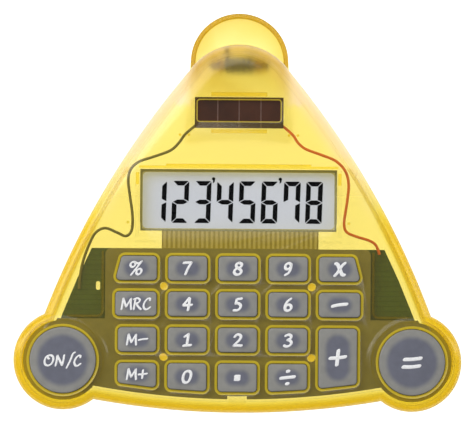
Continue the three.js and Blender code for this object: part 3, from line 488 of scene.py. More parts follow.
def clear_plastic(name, painted_sheen_tint, pale_tint, deep_tint, pale_body, deep_body, painted_glow_body):
    """Tints colour what shows through, bodies the lit plastic; sheen tint and glow body paint light."""
    material, tree = new_finish(name)
    depth = add(tree, "ShaderNodeAttribute", attribute_name="edge_depth").outputs["Fac"]
    frost = add(tree, "ShaderNodeAttribute", attribute_name="frost").outputs["Fac"]
    glow = add(tree, "ShaderNodeAttribute", attribute_name="painted_edge_glow").outputs["Fac"]
    place = add(tree, "ShaderNodeTexCoord").outputs["Object"]
    # Flow marks of the melt are about 17 mm long, so 60 go in a metre.
    flow = add(tree, "ShaderNodeTexNoise", {"Vector": place, "Scale": 60, "Detail": 2})
    flow_share = add(tree, "ShaderNodeMapRange", {
        "Value": flow, "From Min": 0.3, "From Max": 0.7, "To Min": 0.92, "To Max": 1.0,
    })
    deep = add(tree, "ShaderNodeMath", {0: depth, 1: flow_share}, operation="MULTIPLY")
    darker = add(tree, "ShaderNodeMix", {
        "Factor": deep, "A": linear(pale_tint), "B": linear(deep_tint),
    }, data_type="RGBA")
    # Painted highlight: below 0 the depth turns the tint towards the palest, along the neck's outline.
    thin = add(tree, "ShaderNodeMath", {0: depth, 1: -1.0}, operation="MULTIPLY")
    tint = add(tree, "ShaderNodeMix", {
        "Factor": thin, "A": darker.outputs["Result"], "B": linear(painted_sheen_tint),
    }, data_type="RGBA")
    colour = add(tree, "ShaderNodeMix", {
        "Factor": deep, "A": linear(pale_body), "B": linear(deep_body),
    }, data_type="RGBA")
    # Painted light: where the glow attribute is high, the body turns to the lighter glow colour and milkier.
    lit = add(tree, "ShaderNodeMix", {
        "Factor": glow, "A": colour.outputs["Result"], "B": linear(painted_glow_body),
    }, data_type="RGBA")
    milk = add(tree, "ShaderNodeMapRange", {"Value": glow, "To Min": clear_milk, "To Max": edge_milk})
    straight = add(tree, "ShaderNodeBsdfTransparent", {"Color": tint.outputs["Result"]})
    spread = add(tree, "ShaderNodeBsdfRefraction", {
        "Color": tint.outputs["Result"], "Roughness": 0.8, "IOR": 1.45,
    })
    going_in = add(tree, "ShaderNodeMath", {
        0: 1.0, 1: add(tree, "ShaderNodeNewGeometry").outputs["Backfacing"],
    }, operation="SUBTRACT")
    haze = add(tree, "ShaderNodeMath", {0: frost, 1: going_in}, operation="MULTIPLY")
    through = add(tree, "ShaderNodeMixShader", {"Fac": haze, 1: straight, 2: spread})
    front = add(tree, "ShaderNodeBsdfDiffuse", {"Color": lit.outputs["Result"]})
    back = add(tree, "ShaderNodeBsdfTranslucent", {"Color": lit.outputs["Result"]})
    body = add(tree, "ShaderNodeMixShader", {"Fac": 0.3, 1: front, 2: back})
    clear = add(tree, "ShaderNodeMixShader", {"Fac": milk, 1: through, 2: body})
    # Painted glow: an emission, though the plastic is no lamp, where light that ran inside a wall leaves it.
    piped_share = add(tree, "ShaderNodeMath", {0: glow, 1: piped_light}, operation="MULTIPLY")
    piped = add(tree, "ShaderNodeEmission", {"Color": lit.outputs["Result"], "Strength": piped_share})
    clear = add(tree, "ShaderNodeAddShader", {0: clear, 1: piped})
    ripple = add(tree, "ShaderNodeBump", {"Height": flow, "Strength": 0.04, "Distance": 0.0004})
    gloss = add(tree, "ShaderNodeBsdfGlossy", {"Roughness": 0.22, "Normal": ripple})
    coated = add(tree, "ShaderNodeMixShader", {"Fac": polish_share(tree, 1.5), 1: clear, 2: gloss})
    ends_in(tree, coated)
    return material


# The first tint paints the neck's highlight, and the last body is the painted glow colour.
moulded_plastic = clear_plastic(
    "moulded yellow polystyrene", "#F9F2E4", "#F9F4D0", "#F9ED7C", "#FFEA6A", "#F4D42E", "#FFE94C"
)
clip_plastic = clear_plastic(
    "moulded yellow polystyrene of the clip",
    "#FFFFF6", "#FFFEF0", "#E6D456", "#FFEA6A", "#F4D42E", "#FFE94C",
)

# A band of deep colour follows the outline below wing_y, with a painted glow of band_glow. It fades
# out up to neck_y, where the pale band of the neck takes over: a painted highlight, the shoulders'
# reflection of the bright tent. Large sloping faces stay plain, since one face can't hold a fade.
band_start, band_end, band_glow = 0.9, 3.1, 0.2
sheen_band_width = 6.0
wing_y, neck_y = -6, 10
large_face, least_slope = 40, 0.97
least_cut = 0.15


def set_edge_depth(made, band_share=1.0, base=lambda x, y: 0 * y, hazy=lambda y: 0 * y):
    """Depth of colour: 1 on cut faces and in the outline's band, below 0 as a painted neck highlight."""
    mesh = made.data
    cut = np.array([d.value for d in mesh.attributes["edge"].data])
    points = points_of(mesh)
    inset = inset_from_outline(points[:, 0], points[:, 1])
    upper = smooth_share(points[:, 1], wing_y, neck_y)
    band = band_share * (1 - smooth_share(inset, band_start, band_end)) * (1 - upper)
    # Painted highlight: near the neck's outline the depth goes below 0, towards the palest tint.
    thin = band_share * (1 - smooth_share(inset, 0, sheen_band_width)) * upper
    at_point = np.maximum(band - thin, -1) + base(points[:, 0], points[:, 1])
    depths, glows = np.empty(len(mesh.loops)), np.empty(len(mesh.loops))
    frost = hazy(points[:, 1])
    for face in mesh.polygons:
        deep = cut[face.index]
        ramp = face.area > large_face and abs(face.normal.z) < least_slope
        for loop in face.loop_indices:
            vertex = mesh.loops[loop].vertex_index
            shown = 0.0 if ramp else at_point[vertex]
            depths[loop] = 1.0 if deep > least_cut else shown
            # Painted glow: a cut face's edge value, or a share of band_glow in the band along the outline.
            glows[loop] = max(deep, 0 if ramp else band_glow * band[vertex])
    set_values(mesh, "edge_depth", depths, "CORNER")
    set_values(mesh, "painted_edge_glow", glows, "CORNER")
    set_values(mesh, "frost", frost)

# %% [markdown]
# ## Key outlines
#
# The keypad has four rows. The outer keys are wider, the two top corners are drawn in to follow the
# housing, and the last row's feet follow the curved bottom edge. The openings in the shell need these
# outlines before the keys themselves do.

# %% Key outlines
column_pitch = 12.9
inner_key_width = 9.83
outer_key_edge = 20.9
wide_key, narrow_key = 10.45, 9.7
first_row_top, row_pitch, key_height = -11.2, 9.17, 6.1
last_row_bottom = -45.85
drawn_in = 1.6
key_corner = 0.9
round_key_radius = 8.4


def row_top(row):
    return first_row_top - row * row_pitch


def bottom_arc(x):
    return last_row_bottom + x ** 2 / (2 * bottom_radius)


def key_corners(left, right, row, last_row=3, low_row=None, cut_left=0, cut_right=0):
    top = row_top(row)
    if last_row in (row, low_row):
        feet = bottom_arc(left), bottom_arc(right)
    else:
        feet = top - key_height, top - key_height
    return [(left, feet[0]), (right, feet[1]), (right - cut_right, top), (left + cut_left, top)]


def column_ends(column, width=inner_key_width):
    if abs(column) < 2:
        return column * column_pitch - width / 2, column * column_pitch + width / 2
    ends = (outer_key_edge, outer_key_edge + width)
    return ends if column > 0 else (-ends[1], -ends[0])


outlines = {
    "key_percent": key_corners(*column_ends(-2, wide_key), 0, cut_left=drawn_in),
    "key_multiply": key_corners(*column_ends(2, wide_key), 0, cut_right=drawn_in),
    "key_memory_recall": key_corners(*column_ends(-2, wide_key), 1),
    "key_minus": key_corners(*column_ends(2, wide_key), 1),
    "key_memory_minus": key_corners(*column_ends(-2, narrow_key), 2),
    "key_plus": key_corners(*column_ends(2, narrow_key), 2, low_row=3),
    "key_memory_plus": key_corners(*column_ends(-2, narrow_key), 3),
}
key_grid = [("7", "8", "9"), ("4", "5", "6"), ("1", "2", "3"), ("0", "point", "divide")]
for row, names in enumerate(key_grid):
    for column, name in enumerate(names, start=-1):
        outlines[f"key_{name}"] = key_corners(*column_ends(column), row)
round_keys = {"key_on_clear": -lobe_x, "key_equals": lobe_x}
print("keys:", len(outlines) + len(round_keys))


def key_outline(name, grown=0.0, steps=8):
    """A key's outline, moved outwards by grown."""
    if name in round_keys:
        return circle(round_keys[name], lobe_y, round_key_radius + grown, 96)
    inner = rounded(outlines[name], key_corner, steps)
    if not grown:
        return inner
    centre_out = np.roll(inner, -1, axis=0) - np.roll(inner, 1, axis=0)
    outward = np.column_stack((centre_out[:, 1], -centre_out[:, 0]))
    return inner + grown * outward / np.hypot(*outward.T)[:, None]

# %% [markdown]
# ## Front shell
#
# The front shell is a tray, open below. Its side walls rise straight and roll over into a shoulder
# that is narrow beside the keys and wide at the neck. The same form, made smaller by the wall and
# plate thickness, is cut out of it. Then the turrets, the openings and the ribs that hold the parts
# are joined and cut, as the steel of the mould would shape them. Extra rings on the flat parts keep
# the fade of the colour band even.

# %% Front shell form
plate, wall = 1.6, 1.7
flat_rings = (1.2, 2.4, 3.6, 4.8)
low_shoulder, high_shoulder_width, high_shoulder_drop = 2.3, 5.8, 4.3
shoulder_start, shoulder_end = -8, 32
least_fillet = 0.4
shoulder_steps = 10
over, weld, gap = 4, 0.5, 0.3
underside = face_height - plate
turret_rise, turret_shoulder = 0.5, 2.3
# The groove's faces get a deep tint as painted shade, and a faint painted glow.
groove_outer, groove_inner, groove_depth, groove_shade_and_glow = 10.1, 9.35, 0.7, 0.2
turret_steps = 128
# The openings' edge values set a painted glow on their bevels and walls, which draws the amber rims.
opening_bevel, opening_gap, opening_edge = 0.68, 0.22, 0.68
window_x, window_y, window_corner = (-24.6, 24.6), (-4, 10.4), 1.1
cell_window_x, cell_window_y, cell_window_corner = (-10.65, 10.65), (23.6, 29), 0.6
window_bevel, window_edge, cell_window_edge = 0.3, 0.12, 0.5
stake_x, stake_rows = 19, (-18.9, -37.1)
stake_places = [(side * stake_x, y) for side in (-1, 1) for y in stake_rows]


def front_form(inset, foot, top, thickness, edge):
    y_share = lambda y: smooth_share(y, shoulder_start, shoulder_end)
    width = lambda y: low_shoulder + (high_shoulder_width - low_shoulder) * y_share(y) - inset
    drop = lambda y: low_shoulder + (high_shoulder_drop - low_shoulder) * y_share(y) - thickness
    rings = [housing_ring(inset, foot)]
    station_y = stations[:, 1]
    for inwards, below in edge_round(shoulder_steps + 1):
        step_in = inset + np.maximum(width(station_y), least_fillet) * inwards
        height = top - np.maximum(drop(station_y), least_fillet) * below
        rings.append(housing_ring(lambda y, step_in=step_in: step_in, height))
    for further in flat_rings:
        rings.append(housing_ring(lambda y, step_in=step_in + further: step_in, top))
    return loft(rings, edge)


def turned(profile, x, y, edge, steps=turret_steps):
    """A turned form on an upright axis, from (radius, height) pairs that rise or fall outwards."""
    return loft([at_height(circle(x, y, radius, steps), height) for radius, height in profile], edge)


def turret(x):
    top = face_height + turret_rise
    profile = [(lobe_radius, 0)]
    for inwards, below in edge_round(shoulder_steps + 1):
        profile.append((lobe_radius - turret_shoulder * inwards, top - turret_shoulder * below))
    floor = top - groove_depth
    profile += [(groove_outer, floor), (groove_inner, floor), (groove_inner, top)]
    made = turned(profile, x, lobe_y, 0.0)
    # Painted shade in the groove: its faces take a deep tint and a faint painted glow.
    for face, depth in zip(made.data.polygons, made.data.attributes["edge"].data):
        away = math.hypot(face.center.x - x, face.center.y - lobe_y)
        in_groove = groove_inner - 0.1 < away < groove_outer + 0.1 and face.center.z > underside
        depth.value = groove_shade_and_glow if in_groove else 0.0
    return made


def both_turrets(radius, bottom, top):
    return [post(side * lobe_x, lobe_y, radius, bottom, top, turret_steps, 0.0) for side in (-1, 1)]


def opening(outline_at, bevel, edge, top=face_height):
    """A straight hole with a bevel, half as deep as wide, that opens upwards."""
    levels = [(0, underside - over), (0, top - bevel / 2), (bevel, top), (bevel, top + over)]
    return loft([at_height(outline_at(grown), height) for grown, height in levels], edge)


def grown_rectangle(x_ends, y_ends, radius):
    def outline_at(grown):
        left, right = x_ends[0] - grown, x_ends[1] + grown
        low, high = y_ends[0] - grown, y_ends[1] + grown
        return rounded([(left, low), (right, low), (right, high), (left, high)], radius + grown)
    return outline_at


def key_opening(name):
    top = face_height + (turret_rise if name in round_keys else 0)
    return opening(lambda grown: key_outline(name, opening_gap + grown), opening_bevel, opening_edge, top)


window = grown_rectangle(window_x, window_y, window_corner)
cell_window = grown_rectangle(cell_window_x, cell_window_y, cell_window_corner)
front = carve(
    front_form(0, 0, face_height, 0, 0.0),
    *joining([turret(side * lobe_x) for side in (-1, 1)]),
    ("DIFFERENCE", front_form(wall, -over, underside, plate, 0.0)),
    ("DIFFERENCE", together(both_turrets(lobe_radius - wall, -over, underside))),
    ("DIFFERENCE", together([key_opening(name) for name in outlines] + [
        opening(window, window_bevel, window_edge),
        opening(cell_window, window_bevel, cell_window_edge),
    ])),
    ("DIFFERENCE", together([key_opening(name) for name in round_keys])),
)
print("front shell before its ribs:", len(front.data.polygons), "faces")

# %% Ribs and posts under the plate
# Each rib has its ends in X and Y, the height of its foot and its edge value, which sets its depth of
# colour and its painted glow. The first lot stands on the middle line, and the second on both sides
# of it: rail, catch, low rib and cell wall.
rib_top = underside + weld
rail_inner = glass_right + gap
rail_outer = rail_inner + 0.85
rail_foot, catch_foot, cell_foot, mat_foot = 0.9, 0, 1.2, 1.3
seat_line = glass_high + gap
middle_ribs = [
    ((-rail_inner, rail_inner), (seat_line, seat_line + 0.6), rail_foot, 0.25),
    ((-18.65, 18.65), (seat_line, seat_line + 1.1), rail_foot, 0.5),
]
side_ribs = [
    ((rail_inner, rail_outer), (-6.2, 11), rail_foot, 0.1),
    ((rail_inner, rail_outer), (7.25, 10.35), catch_foot, 0.35),
    ((21.2, rail_outer), (-7.7, -7.1), rail_foot, 0.1),
    ((11.7, 12.4), (22.62, 28.98), cell_foot, 0.1),
]
cell_ribs = [
    ((-7.2, 7.2), (21.525, 20.525), cell_foot, 0.5),
    ((-7.2, 7.2), (30.075, 31.075), cell_foot, 0.5),
]
notch_ends = (bottom_edge + wall - weld, bottom_edge + 4.3)
notch_rib = ((-2.2, 2.2), notch_ends, mat_foot, 0.1)
mirrored_ribs = [
    ((side * near, side * far), *rest) for side in (-1, 1) for (near, far), *rest in side_ribs
]
ribs = [
    block(x_ends, y_ends, (foot, rib_top), edge)
    for x_ends, y_ends, foot, edge in (*middle_ribs, *mirrored_ribs, *cell_ribs, notch_rib)
]

# A thin fence runs down beside the mat and turns outwards above the corner key on each side. Its
# faces have a draft, so that it comes out of the mould.
fence_inner, fence_outer, fence_low, fence_high, fence_reach = 34.4, 44, -27, -9.9, 90
# The fence's edge value gives it a deeper tint and a faint painted glow.
fence_thickness, fence_draft, fence_corner, fence_edge = 0.7, 0.14, 1.8, 0.2
for side in (-1, 1):
    across = sorted((side * fence_inner, side * (fence_inner + fence_reach)))
    fence_line = grown_rectangle(across, (fence_low, fence_low + fence_reach), fence_corner)
    foot_inset = fence_draft - fence_thickness
    outer_wall = [(-fence_draft, mat_foot), (0, rib_top)]
    inner_wall = [
        (foot_inset, mat_foot - weld), (foot_inset, mat_foot),
        (-fence_thickness, rib_top), (-fence_thickness, rib_top + weld),
    ]
    outer, inner = [
        loft([at_height(fence_line(grown), height) for grown, height in faces], fence_edge)
        for faces in (outer_wall, inner_wall)
    ]
    kept = block((side * fence_inner, side * fence_outer), (fence_low, fence_high), (mat_foot, rib_top))
    ribs.append(carve(outer, ("DIFFERENCE", inner), ("INTERSECT", kept)))

# Slim posts guide the leads, and four stout ones go through the mat and the board. These are stakes:
# their tips are melted over the board when the calculator is put together.
# The posts' edge values give them a deeper tint and a painted glow, which shows as bright amber dots.
guide_radius, guide_foot, guide_edge = 0.35, 1.05, 0.5
guide_points = [(12.85, 20.05), (15.15, 20.05), (28.4, -2.5)]
guide_places = [(side * x, y) for side in (-1, 1) for x, y in guide_points]
stake_radius, stake_foot = 1, -1
posts = [post(x, y, guide_radius, guide_foot, rib_top, 16, guide_edge) for x, y in guide_places]
posts += [post(x, y, stake_radius, stake_foot, rib_top, 32, 0.3) for x, y in stake_places]
front = carve(front, *joining([*ribs, together(posts)]))
set_edge_depth(front)
finished(front, "clear_front", "case", moulded_plastic, nodes=["front_shell"])

# %% Light inside the stake posts
# The stakes are solid, and light that falls in through the plate turns their heads bright yellow. A
# core of full depth inside each, just short of its skin, stands for that light.
core_radius, core_inset = 0.92, 0.1
core_ends = (stake_foot + core_inset, underside - core_inset)
cores = together([post(x, y, core_radius, *core_ends, 32, 1.0) for x, y in stake_places])
set_edge_depth(cores)
finished(cores, "stake_cores", "case", moulded_plastic)

# %% [markdown]
# ## Rear shell
#
# The rear shell is a shallow tray with a flat face that lies on the table. Behind the display its
# floor steps up a ramp to a raised floor, which leaves the room for the clip. A tongue round its rim
# fits inside the front wall, rests back the board, the display and the solar cell, and two lugs hold
# the hinge pin. The raised floor is frosted, so that the spring under it shows as a soft dark spot.

# %% Rear shell form
rear_depth, floor_thickness, rear_round = 3.4, 1.6, 1.1
ramp_low, ramp_high = 3, 14.5
tongue, tongue_height = 0.8, 1.1
hinge_reach = 2.75
clip_floor = pin.z + hinge_reach
board_underside = -0.2
seat = rear_depth * math.cos(slope) - bottom_edge * math.sin(slope)
rear_steps = 6


def table_plane(y, rise=0.0):
    """The height of a plane parallel to the table, in the face frame."""
    return (rise - seat - y * math.sin(slope)) / math.cos(slope)


def rear_rings(inset, radius, top, height_at):
    """Rings from the flat underside over the rounded lower edge up to the rim."""
    rings = [housing_ring(inset + radius + further, height_at) for further in reversed(flat_rings)]
    for inwards, above in reversed(edge_round(rear_steps)):
        lifted = lambda y, lift=radius * above: height_at(y) + lift
        rings.append(housing_ring(inset + radius * inwards, lifted))
    return rings + [housing_ring(inset, top)]


def side_profile(points, half_width):
    """A bar along X from a closed outline of (y, z) points that goes counter-clockwise."""
    outline = np.array(points, float)
    left = np.column_stack((np.full(len(outline), -half_width), outline))
    right = left * (-1, 1, 1)
    return loft([left, right])


def rear_form(inset, top, rise, radius, shallow):
    far = apex_centre[1] + apex_radius + over
    deep = table_plane(far) - over
    low_y, high_y = ramp_low - rise, ramp_high - rise
    behind_ramp = side_profile([
        (low_y, table_plane(low_y, rise)),
        (low_y, deep),
        (far, deep),
        (far, top + over),
        (high_y, top + over),
        (high_y, shallow),
    ], side_point[0] + over)
    return carve(
        loft(rear_rings(inset, radius, top, lambda y: table_plane(y, rise))),
        ("DIFFERENCE", behind_ramp),
        ("UNION", loft(rear_rings(inset, radius, top, lambda y: np.full(len(y), shallow)))),
    )


def rear_turret(x, radius, top, rise):
    rings = []
    for inwards, above in reversed(edge_round(rear_steps)):
        outline = circle(x, lobe_y, radius - rear_round * inwards, turret_steps)
        rings.append(at_height(outline, table_plane(outline[:, 1], rise) + rear_round * above))
    return loft(rings + [at_height(circle(x, lobe_y, radius, turret_steps), top)])


def housing_slab(inset, bottom, top):
    return carve(
        loft([housing_ring(inset, bottom), housing_ring(inset, top)]),
        *joining(both_turrets(lobe_radius - inset, bottom, top)),
    )


rim = -gap
rear_outer = carve(
    rear_form(0, rim, 0, rear_round, clip_floor),
    *joining([rear_turret(side * lobe_x, lobe_radius, rim, 0) for side in (-1, 1)]),
)
rear_cavity = carve(
    rear_form(wall, rim + over, floor_thickness, least_fillet, clip_floor + floor_thickness),
    *joining([
        rear_turret(side * lobe_x, lobe_radius - wall, rim + over, floor_thickness) for side in (-1, 1)
    ]),
)
raised_floor = clip_floor + floor_thickness - weld
ledge_foot, ledge_top = raised_floor, rim - 0.06
rear_tongue = carve(
    housing_slab(wall + gap, rim - weld, tongue_height),
    ("UNION", housing_slab(wall - weld, ledge_foot, ledge_top)),
    ("DIFFERENCE", housing_slab(wall + gap + tongue, ledge_foot - weld, tongue_height + weld)),
)
rest_x, rest_rows, rest_radius = 29, (-13, -41.5), 1.5
bar_inner, bar_outer, bar_low, bar_high, bar_top = 15.2, 16.8, -1.5, 10, 0.4
cell_rest = ((-6, 6), (25, 26.6), (raised_floor, 2.3))
rests = []
for side in (-1, 1):
    for y in rest_rows:
        foot = table_plane(y, floor_thickness) - weld
        rests.append(post(side * rest_x, y, rest_radius, foot, board_underside - gap))
    bar = (side * bar_inner, side * bar_outer)
    low_foot = table_plane(bar_low, floor_thickness) - weld
    rests.append(block(bar, (bar_low, bar_high), (raised_floor, bar_top)))
    rests.append(block(bar, (bar_low, ramp_low - floor_thickness), (low_foot, bar_top)))
rests.append(block(*cell_rest))
hinge_radius, pin_radius = 2.2, 1
lug_inner, lug_outer = 5.71, 7.11


def hinge_eyes(inner, outer, y, z, foot_ends):
    """On both sides of the middle, a round eye and the block that is its foot."""
    eyes = []
    for side in (-1, 1):
        ends = (side * inner, side * outer)
        eyes.append(crosswise(y, z, hinge_radius, ends, 48))
        eyes.append(block(ends, (y - hinge_radius, y + hinge_radius), foot_ends))
    return eyes


lugs = hinge_eyes(lug_inner, lug_outer, pin.y, pin.z, (pin.z, clip_floor + weld))
rear = carve(
    rear_outer,
    ("DIFFERENCE", rear_cavity),
    ("UNION", rear_tongue),
    *joining(rests + lugs),
    ("DIFFERENCE", crosswise(pin.y, pin.z, pin_radius + gap, (-lobe_x, lobe_x), 40)),
)
haze_start, haze_end = ramp_high - 6, ramp_high - floor_thickness
set_edge_depth(rear, hazy=lambda y: smooth_share(y, haze_start, haze_end))
finished(rear, "clear_rear", "case", moulded_plastic, nodes=["rear_shell"])

# %% [markdown]
# ## Clip
#
# The clip is one moulding: a round finger disc with a raised rim, a flat plate, and a jaw that rises
# to the raised floor and bites on the paper. Seen from the side it is a bent strip, and seen from
# above it is a rounded blade, so it is made as the part that both outlines have in common. Two ears
# on it swing on the hinge pin. The clip's sizes are measured from the pin.

# %% Clip form
lever_thickness = 1.8
disc_y, disc_radius = 39.3 - pin.y, 12.65
disc_rim, disc_rim_height = 1.25, 1.0
jaw_half, jaw_end, jaw_end_radius, jaw_corner = 14, 18 - pin.y, 76, 1.6
jaw_rise_start, jaw_rise_end = 11, 16.6
ear_inner, ear_outer = 4.01, 5.41
# The disc's upright walls get a deeper tint and a painted glow.
disc_wall_edge, upright = 0.3, 0.3
# Painted light: the clip's colour deepens where light falls on it behind the housing, pale under it.
painted_disc_depth, painted_disc_fade = 0.74, (-0.5, 2.5)


def lever_top(y):
    """The height of the clip's upper face over its length, from the pin."""
    pad = hinge_reach / math.cos(slope) + y * math.tan(slope) - gap / math.cos(slope)
    share = smooth_share(-y, jaw_rise_start, jaw_rise_end)
    return -hinge_reach + (pad + hinge_reach) * share


def blade_outline(grown=0.0):
    reach = math.hypot(jaw_half, disc_y - jaw_end)
    start = math.atan2(jaw_end - disc_y, jaw_half) + math.acos(disc_radius / reach)
    sweep = np.linspace(start, math.pi - start, 96)
    disc = directions(sweep) * (disc_radius + grown) + (0, disc_y)
    end_half = jaw_half - jaw_corner
    bow = math.asin(end_half / jaw_end_radius)
    end_centre = jaw_end - jaw_end_radius * math.cos(bow)
    angles = math.pi / 2 + np.linspace(bow, -bow, 40)
    end = directions(angles) * jaw_end_radius + (0, end_centre)
    share = np.linspace(0, 1, 10)[:-1, None]
    corner = (
        (1 - share) ** 2 * (-jaw_half, jaw_end + jaw_corner)
        + 2 * share * (1 - share) * (-jaw_half, jaw_end)
        + share ** 2 * (-end_half, jaw_end)
    )
    return np.vstack((disc, corner, end, corner[::-1] * (-1, 1)))


strip_y = np.concatenate(([disc_y + disc_radius + weld], np.linspace(-jaw_rise_start, jaw_end - weld, 40)))
strip = [(y, lever_top(y)) for y in strip_y]
strip += [(y, height - lever_thickness) for y, height in reversed(strip)]
blade = slab(blade_outline(), -over - hinge_reach, over + hinge_reach)
rim_shape = directions(np.linspace(math.radians(-6), math.radians(186), 97))
rim_inner = disc_radius - disc_rim
rim_outline = np.vstack((rim_shape * disc_radius, rim_shape[::-1] * rim_inner)) + (0, disc_y)
rim_bottom, rim_high = -hinge_reach - weld, -hinge_reach + disc_rim_height
# The rim's edge value gives it a deeper tint and a faint painted glow.
soft, rim_edge = 0.25, 0.2
upper_rim = np.vstack((rim_shape * (disc_radius - soft), rim_shape[::-1] * (rim_inner + soft)))
rim_solid = loft([
    at_height(rim_outline, rim_bottom),
    at_height(rim_outline, rim_high - soft),
    at_height(upper_rim + (0, disc_y), rim_high),
], rim_edge)
clip = carve(
    blade,
    ("INTERSECT", side_profile(strip[::-1], jaw_half + weld)),
    ("UNION", rim_solid),
    *joining(hinge_eyes(ear_inner, ear_outer, 0, 0, (rim_bottom, 0))),
    ("DIFFERENCE", crosswise(0, 0, pin_radius + gap, (-lug_outer, lug_outer), 40)),
)
# Painted glow, with a deeper tint, on the disc's upright walls.
for face, depth in zip(clip.data.polygons, clip.data.attributes["edge"].data):
    at_disc = face.center.y > -disc_radius / 2
    depth.value = max(depth.value, disc_wall_edge * (at_disc and abs(face.normal.z) < upright))


def painted_light_depth(x, y):
    """Painted light: the clip is deeper in colour where it stands out behind the housing, pale under it."""
    return painted_disc_depth * (1 - smooth_share(inset_from_outline(x, y + pin.y), *painted_disc_fade))


set_edge_depth(clip, 0, painted_light_depth)
finished(clip, "clear_clip", "clip", clip_plastic, place=pin_to_table, nodes=["clip_lever"])

# %% [markdown]
# ## Rubber keys
#
# The keys are compression-moulded grey silicone rubber. It lets a little light in, so the carbon pill
# at a key's foot shows as a soft dark patch under its top. The top's edge is rounded and the top is
# slightly domed. Point attributes hold where a point lies from the key's middle and the pill's form,
# and the finish works out from them how far a point lies outside the pill.

# %% Silicone finish
def silicone_rubber(name, plain, over_pill):
    material, tree = new_finish(name)
    place = add(tree, "ShaderNodeTexCoord").outputs["Object"]
    along = add(tree, "ShaderNodeAttribute", attribute_name="from_middle").outputs["Vector"]
    straight = add(tree, "ShaderNodeAttribute", attribute_name="pill_straight").outputs["Vector"]
    radius = add(tree, "ShaderNodeAttribute", attribute_name="pill_radius").outputs["Fac"]
    folded = add(tree, "ShaderNodeVectorMath", {0: along}, operation="ABSOLUTE")
    beyond = add(tree, "ShaderNodeVectorMath", {0: folded, 1: straight}, operation="SUBTRACT")
    beyond = add(tree, "ShaderNodeVectorMath", {0: beyond, 1: (0, 0, 0)}, operation="MAXIMUM")
    reach = add(tree, "ShaderNodeVectorMath", {0: beyond}, operation="LENGTH")
    distance = add(tree, "ShaderNodeMath", {0: reach.outputs["Value"], 1: radius}, operation="SUBTRACT")
    blur_from, blur_to = -1.0, 0.7
    patch = add(tree, "ShaderNodeMapRange", {
        "Value": distance,
        "From Min": blur_from, "From Max": blur_to, "To Min": 1.0, "To Max": 0.0,
    }, interpolation_type="SMOOTHSTEP")
    # The filler clouds the rubber in spots of about 2.4 mm, so 420 go in a metre.
    cloud = add(tree, "ShaderNodeTexNoise", {"Vector": place, "Scale": 420, "Detail": 3})
    cloud_share = add(tree, "ShaderNodeMapRange", {
        "Value": cloud, "From Min": 0.35, "From Max": 0.65, "To Min": 0.94, "To Max": 1.05,
    })
    base = add(tree, "ShaderNodeMix", {
        "Factor": patch, "A": linear(plain), "B": linear(over_pill),
    }, data_type="RGBA")
    shaded = add(tree, "ShaderNodeMix", {
        "Factor": 1.0, "A": base.outputs["Result"], "B": cloud_share,
    }, data_type="RGBA", blend_type="MULTIPLY")
    # The spark-eroded mould leaves a matt grain of about 0.11 mm.
    grit = add(tree, "ShaderNodeTexNoise", {"Vector": place, "Scale": 9000, "Detail": 2})
    matt = add(tree, "ShaderNodeBump", {"Height": grit, "Strength": 0.08, "Distance": 0.00005})
    rubber = add(tree, "ShaderNodeBsdfPrincipled", {
        "Base Color": shaded.outputs["Result"], "Roughness": 0.55, "IOR": 1.41,
        "Normal": matt,
    })
    ends_in(tree, rubber)
    return material


key_rubber = silicone_rubber("moulded grey silicone", "#92918C", "#6C6E7B")

# %% Key caps and pills
key_proud, round_key_proud = 0.9, 0.6
key_edge, key_crown = 0.35, 0.12
key_growth = 0.08
crown_shares = (0.86, 0.72, 0.58, 0.44, 0.3, 0.16, 0.05)
key_foot, pill_foot = 2.55, 2.2
pill_width, pill_height, tall_pill, round_pill = 6.4, 4.2, 12, 6.65


def key_top(name):
    return face_height + (turret_rise + round_key_proud if name in round_keys else key_proud)


def key_middle(name):
    if name in round_keys:
        return np.array([round_keys[name], lobe_y])
    left, right = outlines[name][0][0], outlines[name][1][0]
    top = outlines[name][2][1]
    foot = (outlines[name][0][1] + outlines[name][1][1]) / 2
    return np.array([(left + right) / 2, (top + foot) / 2])


def pill_form(name):
    """Half-lengths of the straight part of the pill's outline, and its end radius."""
    if name in round_keys:
        return 0.0, 0.0, round_pill
    height = tall_pill if name == "key_plus" else pill_height
    radius = min(pill_width, height) / 2
    return pill_width / 2 - radius, height / 2 - radius, radius


def key_cap(name):
    top, middle = key_top(name), key_middle(name)
    rings = [at_height(key_outline(name, key_growth), key_foot)]
    for inwards, below in edge_round(7):
        outline = key_outline(name, key_growth - key_edge * inwards)
        rings.append(at_height(outline, top - key_edge * below))
    flat_top = rings[-1][:, :2]
    for share in crown_shares:
        height = top + key_crown * (1 - share ** 2)
        rings.append(at_height(middle + (flat_top - middle) * share, height))
    half_x, half_y, radius = pill_form(name)
    outward = circle(0, 0, 1, 40)
    straight = np.sign(np.round(outward, 9)) * (half_x, half_y)
    pill = middle + straight + outward * radius
    return carve(loft(rings), ("UNION", slab(pill, pill_foot, key_foot + weld)))


for name in list(outlines) + list(round_keys):
    cap = key_cap(name)
    half_x, half_y, radius = pill_form(name)
    points = points_of(cap.data)
    from_middle = points - (*key_middle(name), 0)
    from_middle[:, 2] = 0
    straight = np.tile((half_x, half_y, 0), (len(points), 1))
    set_values(cap.data, "from_middle", from_middle, kind="FLOAT_VECTOR")
    set_values(cap.data, "pill_straight", straight, kind="FLOAT_VECTOR")
    set_values(cap.data, "pill_radius", np.full(len(points), radius))
    finished(cap, name.replace("key_", "cap_"), name, key_rubber, nodes=[name])

# %% [markdown]
# ## Printed legends
#
# The legends are white ink, pad-printed on the keys in a slanted hand. Each sign is a few pen strokes,
# so each is drawn as curves through a few points, on a square one cap height high. A node tree gives
# every stroke the width of a slanted broad pen, round ends and the thickness of the ink, which one
# mesh for each key then keeps.

